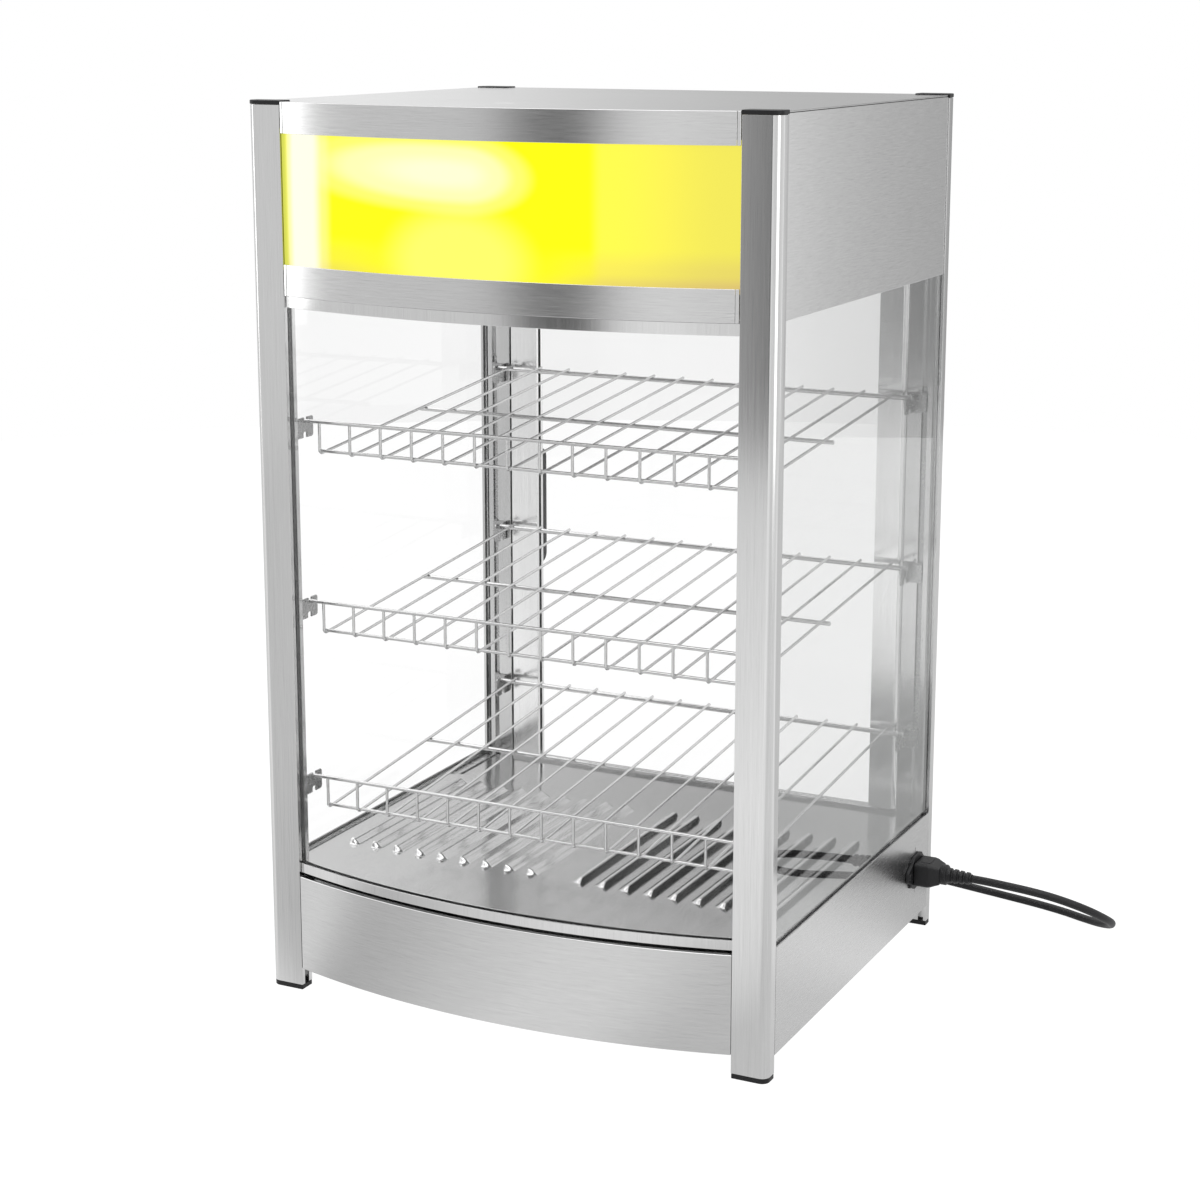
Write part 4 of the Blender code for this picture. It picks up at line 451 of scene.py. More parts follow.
def make_finishes(settings):
    """Each of the cabinet's finishes, by name."""
    metal = settings.metal
    sheet, column = (50, 50, 1100), (1300, 1300, 16)
    metals = (
        ("panel_steel", metal.steel, 0.18, (40, 40, 1100), 0.000006),
        ("side_steel", metal.steel, 0.24, sheet, 0.000003),
        # header_steel is the same steel painted a quarter lighter: painted light on the header's sides
        ("header_steel", shade(metal.steel, 1.25), 0.09, sheet, 0.000001),
        ("deck_steel", metal.steel, 0.13, (900, 40, 40), 0.000003),
        ("column_aluminium", metal.aluminium, 0.12, column, 0.000003),
        ("bright_wire", metal.wire, 0.12, (400, 400, 400), 0.00001),
        ("clip_steel", shade(metal.steel, 0.7), 0.25, (300, 300, 300), 0.00001),
        ("stile_aluminium", (0.90, 0.90, 0.90), 0.16, column, 0.000003),
    )
    panes = (
        ("clear_glass", 1.0, 0.55),
        ("front_clear_glass", 0.995, 0.55),
        ("door_clear_glass", 0.99, 0.55),
        # The right pane's darker tint is painted shade, and it mirrors more strongly than the other panes
        ("right_clear_glass", 0.92, 1.6),
    )
    finishes = {name: brushed(name, *rest) for name, *rest in metals}
    for name, tint, shine in panes:
        finishes[name] = clear_glass(name, settings.glass.clear * tint, shine)
    finishes["yellow_acrylic"] = lit_acrylic(settings.sign)
    finishes["lamp_glass"] = mottled(
        "lamp_glass",
        (40, 3.0),
        ((0.90, 0.88, 0.80), (0.97, 0.95, 0.90)),
        (0.25, 0.2),
        None,
        glow=((1.0, 0.86, 0.55), (1.0, 0.93, 0.74)),
    )
    browned = (0.30, 0.27, 0.24), (0.52, 0.49, 0.45)
    finishes["element_steel"] = mottled(
        "element_steel", (25, 4.0), browned, (0.38, 0.2), (700, 2.0, 0.00005), metallic=1.0
    )
    black = (0.014, 0.014, 0.015)
    finishes["black_plastic"] = mottled(
        "black_plastic",
        (30, 3.0),
        (shade(black, 0.85), shade(black, 1.25)),
        (0.36, 0.12),
        (900, 2.0, 0.00006),
        specular_ior_level=0.25,
    )
    finishes["amber_lens"] = mottled(
        "amber_lens", (260, 2.0), ((0.70, 0.20, 0.01), (0.90, 0.34, 0.03)), (0.12, 0.1), (260, 2.0, 0.0002)
    )
    finishes["cord_rubber"] = mottled(
        "cord_sheath",
        (60, 4.0),
        ((0.010, 0.010, 0.011), (0.024, 0.024, 0.025)),
        (0.42, 0.15),
        (500, 2.0, 0.00004),
        specular_ior_level=0.25,
    )
    return finishes


FINISHES = {}


def activate(*things):
    """Selects these objects and nothing else."""
    bpy.ops.object.select_all(action="DESELECT")
    for thing in things:
        thing.select_set(True)
    bpy.context.view_layer.objects.active = things[0]


class Shaping:
    """Edit mode on one piece, with everything selected at first."""

    def __init__(self, piece):
        self.piece = piece

    def __enter__(self):
        activate(self.piece)
        bpy.ops.object.mode_set(mode="EDIT")
        bpy.ops.mesh.select_mode(type="VERT")
        self.everything()
        return self

    def __exit__(self, *problem):
        bpy.ops.object.mode_set(mode="OBJECT")

    def pick(self, kind, test):
        """Selects only the vertices or faces whose middle and normal pass the test."""
        bpy.ops.mesh.select_mode(type=kind)
        bpy.ops.mesh.select_all(action="DESELECT")
        mesh = bmesh.from_edit_mesh(self.piece.data)
        mesh.normal_update()
        if kind == "VERT":
            for vert in mesh.verts:
                vert.select = test(vert.co, vert.normal)
        else:
            for face in mesh.faces:
                face.select = test(face.calc_center_median(), face.normal)
        mesh.select_flush_mode()
        bmesh.update_edit_mesh(self.piece.data)

    def everything(self):
        bpy.ops.mesh.select_all(action="SELECT")

    def extrude(self, vector):
        bpy.ops.mesh.extrude_region_move(TRANSFORM_OT_translate={"value": tuple(vector)})

    def spin(self, steps, angle, centre, axis):
        """Carries what is selected round the axis, anticlockwise: the operator's own angle is clockwise."""
        bpy.ops.mesh.spin(steps=steps, angle=-angle, center=centre, axis=axis)

    def tidy(self):
        """Closes seams and poles, and turns the faces outwards."""
        self.everything()
        bpy.ops.mesh.remove_doubles(threshold=MERGE)
        bpy.ops.mesh.normals_make_consistent(inside=False)


def latest(name):
    piece = bpy.context.object
    piece.name = name
    piece.data.name = name
    bpy.ops.object.transform_apply(location=True, rotation=True, scale=True)
    return piece


def drawn(name, corners, closed=True):
    """A flat face with this outline, or an open line, drawn corner by corner from one point."""
    corners = [Vector(corner) for corner in corners]
    bpy.ops.mesh.primitive_plane_add(size=FIT, location=corners[0])
    piece = latest(name)
    with Shaping(piece) as shaping:
        bpy.ops.mesh.merge(type="CENTER")
        for near, far in zip(corners, corners[1:]):
            shaping.extrude(far - near)
        if closed:
            shaping.everything()
            bpy.ops.mesh.edge_face_add()
    return piece


def extruded(name, corners, vector, *rounding):
    """A closed solid: the outline carried along the vector, with its edges rounded where asked."""
    piece = drawn(name, corners)
    with Shaping(piece) as shaping:
        shaping.extrude(vector)
        shaping.tidy()
    if rounding:
        soften(piece, *rounding)
    return piece


def turned(name, profile, origin, axis, steps=40):
    """A solid of revolution. The profile runs from the axis and back to it, as (radius, height)."""
    axis = Vector(axis).normalized()
    across = axis.orthogonal().normalized()
    origin = Vector(origin)
    piece = drawn(name, [origin + across * radius + axis * height for radius, height in profile])
    with Shaping(piece) as shaping:
        bpy.ops.mesh.delete(type="ONLY_FACE")
        shaping.everything()
        shaping.spin(steps, 2 * math.pi, origin, axis)
        shaping.tidy()
    return piece


def bowed(name, section, start, end, *rounding):
    """A section of (inset, level) points carried along the bowed front, with upright ends."""
    inner = BOW_RADIUS - max(inset for inset, _ in section)
    first = math.asin((start - OVERRUN) / inner)
    last = math.asin((end + OVERRUN) / inner)
    corners = []
    for inset, level in section:
        radius = BOW_RADIUS - inset
        corners.append(BOW_CENTRE + Vector((radius * math.sin(first), -radius * math.cos(first), level)))
    piece = drawn(name, corners)
    with Shaping(piece) as shaping:
        shaping.spin(max(6, round((last - first) / BOW_STEP)), last - first, BOW_CENTRE, (0, 0, 1))
        shaping.tidy()
        for side, cut in ((-1, start), (1, end)):
            shaping.everything()
            plane = MIDDLE + Vector((cut, 0, 0))
            bpy.ops.mesh.bisect(plane_co=plane, plane_no=(side, 0, 0), use_fill=True, clear_outer=True)
        shaping.tidy()
    soften(piece, *rounding)
    return piece


def apply_modifier(piece, kind, **settings):
    activate(piece)
    modifier = piece.modifiers.new(kind.title(), kind)
    for name, value in settings.items():
        setattr(modifier, name, value)
    bpy.ops.object.modifier_apply(modifier=modifier.name)


def soften(piece, width, segments=2, degrees=40):
    """Rounds the sharp edges."""
    angle = math.radians(degrees)
    apply_modifier(piece, "BEVEL", width=width, segments=segments, limit_method="ANGLE", angle_limit=angle)


def place(piece, finish, *replaces, body="cabinet", smooth=38):
    """Gives a piece its finish, its smooth shading and the body that it moves with."""
    activate(piece)
    bpy.ops.object.transform_apply(location=True, rotation=True, scale=True)
    bpy.ops.object.shade_smooth_by_angle(angle=math.radians(smooth))
    apply_modifier(piece, "WEIGHTED_NORMAL", keep_sharp=True)
    piece.data.materials.clear()
    piece.data.materials.append(FINISHES[finish])
    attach(piece, body)
    if replaces:
        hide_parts(*replaces)
    return piece


def merged_copy(node):
    """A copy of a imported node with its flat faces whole."""
    piece = NODES[node].copy()
    piece.data = NODES[node].data.copy()
    piece.parent = None
    bpy.context.scene.collection.objects.link(piece)
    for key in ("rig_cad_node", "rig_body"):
        if key in piece:
            del piece[key]
    piece.name = f"{node}_fine"
    with Shaping(piece) as shaping:
        bpy.ops.mesh.remove_doubles(threshold=MERGE)
        bpy.ops.mesh.dissolve_limited(angle_limit=FLAT)
    return piece


def refined(node, finish, width, body="cabinet", smooth=38):
    """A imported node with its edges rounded, in that node's place."""
    piece = merged_copy(node)
    if width:
        soften(piece, width)
    return place(piece, finish, node, body=body, smooth=smooth)


def copied(piece, name, vector):
    """A copy with its own mesh, moved by the vector."""
    activate(piece)
    bpy.ops.object.duplicate()
    made = bpy.context.object
    made.name = name
    made.data.name = name
    with Shaping(made) as shaping:
        bpy.ops.transform.translate(value=tuple(vector))
    return made


def joined(pieces, name):
    activate(*pieces)
    bpy.ops.object.join()
    made = bpy.context.object
    made.name = name
    return made


def bent_wire(name, path, radius, bend, sides, rounding):
    """A round wire along straight runs, with a true bend of that radius at each corner."""
    path = [Vector(point) for point in path]
    heading = (path[1] - path[0]).normalized()
    tilt = Vector((0, 0, 1)).rotation_difference(heading).to_euler()
    bpy.ops.mesh.primitive_circle_add(
        vertices=sides, radius=radius, fill_type="NGON", location=path[0], rotation=tilt
    )
    piece = latest(name)
    with Shaping(piece) as shaping:
        at = path[0]
        for corner, after in zip(path[1:], path[2:]):
            before = (corner - at).normalized()
            onwards = (after - corner).normalized()
            angle = before.angle(onwards)
            cut = bend * math.tan(angle / 2)
            start = corner - before * cut
            axis = before.cross(onwards).normalized()
            centre = start + axis.cross(before) * bend
            shaping.extrude(start - at)
            steps = max(3, round(angle / BEND_STEP))
            shaping.spin(steps, angle, centre, axis)
            at = corner + onwards * cut
        shaping.extrude(path[-1] - at)
        shaping.tidy()
    soften(piece, rounding, 2, 60)
    return piece


def bearings(*tones):
    """Ramp stops from (bearing, tone) pairs: bearings run from the front towards the left, in degrees."""
    return [(bearing / 360 + 0.5, tone) for bearing, tone in tones]


# What the metal mirrors, all round the cabinet: the walls of the studio, and its floor, whose tones are
# painted light and shade
WALL_TONES = bearings(
    (-180, 0.42), (-164, 0.42), (-159.5, 0.54), (-155, 1.20), (-150, 1.45), (-145, 1.10), (-84, 0.92),
    (-76, 2.60), (-56, 2.60), (-47, 0.95), (-6, 1.00), (1, 1.20), (7, 1.14), (10.5, 0.78),
    (12.5, 0.17), (20, 0.15), (24, 0.42), (26.5, 0.84), (30, 0.94), (55, 0.88), (61.5, 0.84),
    (64.5, 1.50), (66.5, 2.10), (70, 2.00), (75, 0.90), (135, 0.95), (146, 0.98), (150, 0.90),
    (154, 0.68), (158, 0.55), (180, 0.42),
)
FLOOR_TONES = bearings(
    (-180, 0.75), (-133, 0.68), (-128, 0.72), (-118, 1.02), (-107, 1.08), (-87, 0.88), (-30, 0.80),
    (-25, 0.88), (-18, 1.02), (-11, 1.10), (2, 1.10), (11, 0.99), (19, 0.92), (27, 0.80),
    (33, 0.72), (40, 0.66), (44, 0.76), (50, 1.10), (70, 0.90), (180, 0.75),
)


class WARMER_OT_stage(bpy.types.Operator):
    """Adds the camera, the pale floor, the lamps and the light from all round"""

    bl_idname = "warmer.stage"
    bl_label = "Stage"

    def execute(self, context):
        settings = context.scene.warmer.stage
        bpy.ops.object.camera_add(
            location=MIDDLE + Vector(settings.place),
            rotation=(math.pi / 2 - settings.pitch, 0, settings.yaw),
        )
        camera = context.object
        camera.name = "picture_camera"
        camera.data.sensor_width = 36  # mm
        camera.data.lens = settings.lens
        camera.data.shift_y = settings.shift
        context.scene.camera = camera
        context.scene.view_settings.view_transform = "Standard"
        self.add_floor(settings)
        self.add_lamps(settings)
        self.add_sky(settings)
        return {"FINISHED"}

    def add_floor(self, settings):
        bpy.ops.mesh.primitive_circle_add(
            vertices=96, radius=settings.floor, fill_type="NGON", location=MIDDLE
        )
        floor = latest("pale_floor")
        look = Look("pale_floor")
        drift = look.noise(3, 2.0)
        seen, glossy = look.rays()
        x, y, _ = look.axes(look.point())
        # Painted light and shade of the floor, shown only in mirrors: a tone for each bearing, and painted
        # shade nearer the cabinet
        tone = look.round_about(x, y, FLOOR_TONES)
        near = look.ramp((x * x + y * y) ** 0.5, [(0.40, 0.87), (0.95, 1.0)])
        look.set(
            base_color=look.blend(drift, (0.90, 0.90, 0.90), (0.92, 0.92, 0.92)),
            roughness=0.6,
            specular_ior_level=0.0,
        )
        shown = look.blend(glossy, (1.0, 1.0, 1.0), tone * near)
        strength, mirrored = 1.2, 0.85
        white = look.node("ShaderNodeEmission", None, {"Color": shown, "Strength": strength})
        look.mix(seen * settings.lift + glossy * mirrored, look.shader, white)
        floor.data.materials.append(look.owner)

    def add_lamps(self, settings):
        lamps = (
            ("overhead_lamp", (0.1, -0.5, 2.4), 2.2, 1.6, settings.key),
            ("left_lamp", (-2.0, -0.9, 1.2), 0.5, 2.0, settings.side),
        )
        target = Vector((0, 0, 0.35))
        for name, spot, width, height, power in lamps:
            spot = Vector(spot)
            aim = (target - spot).to_track_quat("-Z", "Y").to_euler()
            bpy.ops.object.light_add(type="AREA", location=spot, rotation=aim)
            lamp = bpy.context.object
            lamp.name = name
            lamp.data.shape = "RECTANGLE"
            lamp.data.size = width
            lamp.data.size_y = height
            lamp.data.energy = power

    def add_sky(self, settings):
        world = bpy.data.worlds.new("studio")
        bpy.context.scene.world = world
        look = Look("studio", world)
        x, y, z = look.axes(look.out(look.node("ShaderNodeTexCoord"), "Generated"))
        walls = look.round_about(x, y, WALL_TONES)
        ceiling = look.ramp(z * 0.5 + 0.5, [(0.66, 0.0), (0.80, 0.4), (0.92, 1.0)])
        mirrored = look.blend(ceiling, walls, (2.2, 2.2, 2.2))
        seen, glossy = look.rays()
        plain = look.blend(glossy, shade((1.0, 1.0, 1.0), settings.sky), mirrored)
        background = look.tree.nodes["Background"]
        look.feed(background.inputs["Color"], look.blend(seen, plain, (1.0, 1.0, 1.0)))
        background.inputs["Strength"].default_value = 1.0


class WARMER_OT_cord(bpy.types.Operator):
    """Adds the mains cord, from the connector to its plug"""

    bl_idname = "warmer.cord"
    bl_label = "Cord"

    def execute(self, context):
        settings = context.scene.warmer.cord
        points = [MIDDLE + point for point in self.route() + self.coil(settings)]
        data = bpy.data.curves.new("mains_cord", "CURVE")
        data.dimensions = "3D"
        data.bevel_depth = settings.diameter / 2
        data.bevel_resolution = 6
        data.use_fill_caps = True
        spline = data.splines.new("POLY")
        spline.points.add(len(points) - 1)
        for knot, point in zip(spline.points, points):
            knot.co = (*point, 1)
        spline.use_smooth = True
        data.materials.append(FINISHES["cord_rubber"])
        cord = bpy.data.objects.new("mains_cord", data)
        context.scene.collection.objects.link(cord)
        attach(cord, "cabinet")
        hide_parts("cord", "cord_coil")
        connector = make_connector()
        plug = make_plug(points[-1])
        return {"FINISHED"}

    def route(self):
        """Evenly spaced points on a smooth curve through the route's own."""
        knots = [Vector(point) for point in CORD_ROUTE]
        knots = [2 * knots[0] - knots[1], *knots, 2 * knots[-1] - knots[-2]]
        fine = []
        for before, start, end, after in zip(knots, knots[1:], knots[2:], knots[3:]):
            bend = 2 * before - 5 * start + 4 * end - after
            twist = 3 * start - before - 3 * end + after
            for step in range(ROUTE_STEPS):
                share = step / ROUTE_STEPS
                fine.append(start + ((end - before) * share + bend * share**2 + twist * share**3) / 2)
        return fine

    def coil(self, settings):
        """Two layers of turns: inwards on the floor, up a layer in half a turn, and outwards on top."""
        inner = settings.outer - settings.turns * settings.pitch
        climbed = inner - settings.pitch / 2
        clear = climbed + settings.pitch
        top_turns = 2 * settings.turns + 1 / 2
        stages = (
            (0, settings.outer, 0),
            (settings.turns, inner, 0),
            (settings.turns + 1 / 2, climbed, 1),
            (settings.turns + 1, clear, 1),
            (top_turns, clear + (settings.turns - 1 / 2) * settings.pitch, 1),
        )
        points = [Vector(CORD_ROUTE[-1])]
        for (start, near, low), (end, far, high) in zip(stages, stages[1:]):
            steps = round((end - start) * TURN_STEPS)
            for step in range(steps):
                share = step / steps
                turn = start + share * (end - start)
                radius, layer = near + share * (far - near), low + share * (high - low)
                points.append(self.on_coil(settings, turn, radius, layer))
        points.append(self.on_coil(settings, *stages[-1]))
        points.append(points[-1] + Vector((CORD_TAIL, 0, 0)))
        return points

    def on_coil(self, settings, turn, radius, layer):
        angle = math.pi / 2 + 2 * math.pi * turn
        rest = CORD_ROUTE[-1][2]
        centre = Vector((COIL_X, CORD_ROUTE[-1][1] - settings.outer, rest + settings.climb * layer))
        return centre + Vector((radius * math.cos(angle), radius * math.sin(angle), 0))


def arc(centre, radius, start, end, steps=6):
    """Points (u, v) round a centre, from one angle to another, in quarter turns."""
    angles = [math.pi / 2 * (start + (end - start) * step / steps) for step in range(steps + 1)]
    return [(centre[0] + radius * math.cos(angle), centre[1] + radius * math.sin(angle)) for angle in angles]


def rectangle(near, far, low, high):
    return [(near, low), (near, high), (far, high), (far, low)]


def upright(low, width, height):
    """The corners of a rectangle square to Y, from its lower left one."""
    across, up = Vector((width, 0, 0)), Vector((0, 0, height))
    return [low, low + across, low + across + up, low + up]


def levels(node):
    return [corner.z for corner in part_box(node)]


def squircle(centre, half_y, half_z, corner):
    """A rectangle with round corners, square to X."""
    points = []
    for quarter, (side_y, side_z) in enumerate(((1, 1), (-1, 1), (-1, -1), (1, -1))):
        middle = side_y * (half_y - corner), side_z * (half_z - corner)
        points += [centre + Vector((0, y, z)) for y, z in arc(middle, corner, quarter, quarter + 1)]
    return points


def span(points, axis):
    return max(point[axis] for point in points) - min(point[axis] for point in points)


def lofted(name, stations):
    """A closed solid through rounded rectangles that are square to X and about one centre line."""
    piece = drawn(name, stations[0])
    with Shaping(piece) as shaping:
        for near, far in zip(stations, stations[1:]):
            middle = sum(far, Vector()) / len(far)
            shaping.extrude((middle.x - near[0].x, 0, 0))
            scale = (1, span(far, 1) / span(near, 1), span(far, 2) / span(near, 2))
            bpy.ops.transform.resize(value=scale, center_override=middle)
        shaping.tidy()
    return piece


def make_connector():
    """The moulded connector in the inlet, its collar and its ribbed strain relief."""
    low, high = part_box("cord_connector")
    middle = (low + high) / 2
    axis = Vector((0, middle.y, middle.z))
    half_y, half_z = (high.y - low.y) / 2, (high.z - low.z) / 2
    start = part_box("mains_inlet")[1].x - 0.9 * MM + FIT
    neck = start + 22 * MM
    stations = []
    for along, share in ((0, 0.97), (1.2, 1.0), (12, 1.0), (15, 0.95), (18, 0.84), (22, 0.72)):
        centre = axis + Vector((start + along * MM, 0, 0))
        stations.append(squircle(centre, half_y * share, half_z * share, 3.2 * MM * share))
    shell = lofted("connector_shell", stations)
    soften(shell, 0.5 * MM, 2, 30)
    nose_y, nose_z = half_y - 1.65 * MM, half_z - 2.5 * MM
    nose = [squircle(axis + Vector((x, 0, 0)), nose_y, nose_z, 1.5 * MM) for x in (low.x, start + SHEET)]
    parts = [shell, lofted("connector_nose", nose)]
    for side in (-1, 1):
        foot = axis + Vector((start + 5 * MM, 0, side * (half_z - 0.6 * MM)))
        grip = squircle(foot, half_y - 6 * MM, 1.1 * MM, 1 * MM)
        parts.append(extruded("connector_grip", grip, (8 * MM, 0, 0), 0.4 * MM))
    collar = 5.3 * MM
    profile = [(0, -1), (8.2, -1), (9, -0.2), (9, 4.2), (8.3, 5), (6.9, 5.3)]
    profile = [(radius * MM, height * MM) for radius, height in profile]
    ribs = 4
    run = (high.x - neck - collar) / ribs
    for rib in range(ribs):
        near = collar + run * rib
        outer = (6.8 - 0.45 * rib) * MM
        inner = outer - 1.5 * MM
        profile += [(outer, near + 0.12 * run), (outer - 0.2 * MM, near + 0.62 * run)]
        profile += [(inner, near + 0.70 * run), (inner, near + run)]
    profile.append((0, high.x - neck))
    parts.append(turned("connector_relief", profile, axis + Vector((neck, 0, 0)), (1, 0, 0)))
    return place(joined(parts, "cord_connector_fine"), "black_plastic", "cord_connector")


def make_plug(tail):
    """The mains plug: a round two-pin plug that lies on its rim, with a ribbed strain relief."""
    rim, reach = 18.5 * MM, 50 * MM
    lean = math.asin((rim - tail.z) / reach)
    axis = Vector((math.cos(lean), 0, math.sin(lean)))
    start = tail - axis * 0.5 * MM
    profile = [(0, 0)]
    for rib in range(4):
        near, outer = 1 + 4 * rib, 4.4 + 0.15 * rib
        profile += [(outer - 0.9, near), (outer - 0.9, near + 1)]
        profile += [(outer, near + 1.3), (outer + 0.1, near + 3.7)]
    profile += [(11, 17), (12, 18), (11.2, 26), (12, 35), (15, 42), (18, 48.5), (18.5, 50), (18.5, 58)]
    profile += [(17.7, 59), (0, 59)]
    pin = [(0, 0), (2.4, 0), (2.4, 17), (1.7, 19.3), (0.9, 19.9), (0, 20)]
    profile, pin = ([(out * MM, along * MM) for out, along in points] for points in (profile, pin))
    plug = turned("mains_plug_fine", profile, start, axis)
    face = start + axis * 58 * MM
    pins = [turned("plug_pin", pin, face + Vector((0, side * 9.5 * MM, 0)), axis, 20) for side in (-1, 1)]
    place(plug, "black_plastic", "mains_plug")
    pins = place(joined(pins, "mains_plug_pins"), "bright_wire")
    pins.parent = plug
    return plug


class WARMER_OT_finishes(bpy.types.Operator):
    """Makes the finishes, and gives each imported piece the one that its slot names"""

    bl_idname = "warmer.finishes"
    bl_label = "Finishes"

    def execute(self, context):
        FINISHES.update(make_finishes(context.scene.warmer))
        for part in frame["record"]["subparts"]:
            node = NODES[part["node"]]
            node.data.materials.clear()
            node.data.materials.append(FINISHES[part["material_slot"]])
        return {"FINISHED"}


COLUMN_DEPTH = HALF_DEPTH - INNER_Y
BETWEEN_COLUMNS = (FIT - INNER_X, INNER_X - FIT)
CORNERS = {
    "front_left": (-1, -1),
    "front_right": (1, -1),
    "rear_left": (-1, 1),
    "rear_right": (1, 1),
}


def column_outline(settings, grow=0.0):
    """The corner column from above, as (from the inner edge, from the front or rear face) points."""
    width, depth, corner = HALF_WIDTH - INNER_X, COLUMN_DEPTH, settings.corner
    rounded = arc((width - corner, corner), corner + grow, -1, 0, settings.steps)
    return [(-grow, -grow), *rounded, (width + grow, depth + grow), (-grow, depth + grow)]


def groove(near, far, depth):
    """A groove in the column's inner face, from its far side to its near side."""
    bottom = COLUMN_DEPTH - depth
    return [(far, COLUMN_DEPTH), (far, bottom), (near, bottom), (near, COLUMN_DEPTH)]


def column_grooves(settings):
    """The column's outline with the grooves for the side glass, the clips and the front glass."""
    outline = column_outline(settings)
    near, far = (corner.x - MIDDLE.x - INNER_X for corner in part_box("side_glass_right"))
    slack, clip = 0.4 * MM, 13 * MM
    inner_face = groove(near - slack, far + slack, 5 * MM) + groove(clip, clip + 5 * MM, 4 * MM)
    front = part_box("front_glass")[1].y - FRONT
    near, far, depth = front - 5.6 * MM, front + slack, 5 * MM
    return outline[:-1] + inner_face + outline[-1:] + [(0, far), (depth, far), (depth, near), (0, near)]


def at_corner(points, side, end, level):
    """Points of a column's outline, carried to one of the four corners."""
    return [MIDDLE + Vector((side * (INNER_X + u), end * (HALF_DEPTH - v), level)) for u, v in points]


class WARMER_OT_columns(bpy.types.Operator):
    """Adds the four extruded columns with their caps and feet"""

    bl_idname = "warmer.columns"
    bl_label = "Columns"

    def execute(self, context):
        settings = context.scene.warmer.column
        for name, corner in CORNERS.items():
            low, high = levels(f"column_{name}")
            cap, foot = column_outline(settings, settings.overhang), column_outline(settings, -0.2 * MM)
            for part, outline, bottom, top, *rounding in (
                ("column", column_grooves(settings), low, high, 0.25 * MM, 2),
                ("cap", cap, high + FIT, TOP, 0.6 * MM, 3),
                ("foot", foot, 0, low - FIT, 0.5 * MM, 3),
            ):
                outline = at_corner(outline, *corner, bottom)
                piece = extruded(f"{part}_{name}_fine", outline, (0, 0, top - bottom), *rounding, 50)
                finish = "column_aluminium" if part == "column" else "black_plastic"
                place(piece, finish, f"{part}_{name}")
        return {"FINISHED"}


def folded(low, high, upper, lower):
    """The section of a front sheet whose upper and lower flanges run this far inwards, or 0 for none."""
    outline = [(0, low), (0, high)]
    outline += [(upper, high), (upper, high - SHEET), (SHEET, high - SHEET)] if upper else [(SHEET, high)]
    outline += [(SHEET, low + SHEET), (lower, low + SHEET), (lower, low)] if lower else [(SHEET, low)]
    return outline


def channel(base, mouth):
    """The section of a rail that holds the front glass, from the level of its base to that of its mouth."""
    near, far, wall = 2.5 * MM, 9.7 * MM, 1.2 * MM
    bed = base + math.copysign(1.5 * MM, mouth - base)
    outer = [(near, mouth), (near, base), (far, base), (far, mouth)]
    return outer + [(far - wall, mouth), (far - wall, bed), (near + wall, bed), (near + wall, mouth)]


def add_trim(node, section, edge):
    """A bowed trim that ends in two narrow folded tabs beside the columns."""
    tab, end = 2.6 * MM, INNER_X - 0.6 * MM
    runs = ((FIT + tab - end, end - tab - FIT), (-end, tab - end), (end - tab, end))
    pieces = [bowed(node, section, near, far, edge, 3) for near, far in runs]
    place(joined(pieces, f"{node}_fine"), "panel_steel", node)


class WARMER_OT_header(bpy.types.Operator):
    """Adds the bowed trims and the lit sign, and rounds the header's sheets"""

    bl_idname = "warmer.header"
    bl_label = "Header"

    def execute(self, context):
        edge = context.scene.warmer.metal.edge
        add_trim("header_top_trim", folded(*levels("header_top_trim"), 6 * MM, 0), edge)
        add_trim("header_bottom_trim", folded(*levels("header_bottom_trim"), 0, 11 * MM), edge)
        section = rectangle(1.5 * MM, 4.5 * MM, *levels("sign_panel"))
        place(bowed("sign_panel_fine", section, *BETWEEN_COLUMNS, edge), "yellow_acrylic", "sign_panel")
        for side in ("left", "right"):
            refined(f"header_side_{side}", "header_steel", edge)
        refined("header_rear_panel", "side_steel", edge)
        refined("top_panel", "deck_steel", edge)
        refined("chamber_ceiling", "deck_steel", edge)
        return {"FINISHED"}


class WARMER_OT_glazing(bpy.types.Operator):
    """Adds the bowed front glass in its two channels, and the side panes"""

    bl_idname = "warmer.glazing"
    bl_label = "Glazing"

    def execute(self, context):
        low, high = levels("glass_rail_upper")
        sections = {
            "glass_rail_upper": channel(high, low),
            "glass_rail_lower": channel(*levels("glass_rail_lower")),
        }
        for node, section in sections.items():
            place(bowed(f"{node}_fine", section, *BETWEEN_COLUMNS, 0.35 * MM), "column_aluminium", node)
        left, right = (corner.x - MIDDLE.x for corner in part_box("front_glass"))
        section = rectangle(4.1 * MM, 8.1 * MM, *levels("front_glass"))
        place(bowed("front_glass_fine", section, left, right, 0.3 * MM), "front_clear_glass", "front_glass")
        for side, finish in (("left", "clear_glass"), ("right", "right_clear_glass")):
            refined(f"side_glass_{side}", finish, 0.3 * MM)
            self.add_seal(side)
        return {"FINISHED"}

    def add_seal(self, side):
        """The black seal between a side pane and the upstand of the base."""
        glass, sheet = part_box(f"side_glass_{side}"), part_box(f"base_side_{side}")
        if side == "left":
            near, far = sheet[0].x + SHEET, glass[0].x
        else:
            near, far = glass[1].x, sheet[1].x - SHEET
        gap, height = 0.1 * MM, 1.2 * MM
        low = Vector((near + gap, glass[0].y, sheet[1].z - FIT - height))
        outline = upright(low, far - near - 2 * gap, height)
        seal = extruded(f"side_seal_{side}", outline, (0, glass[1].y - glass[0].y, 0), 0.3 * MM)
        place(seal, "black_plastic")


# The louvres of the floor plate, from the middle of the columns
LOUVRES = 9
LOUVRE_FIRST = 25 * MM
LOUVRE_WIDTH = 9.5 * MM
LOUVRE_PITCH = 21.45 * MM
LOUVRE_FRONT = -113 * MM
LOUVRE_REAR = 81 * MM


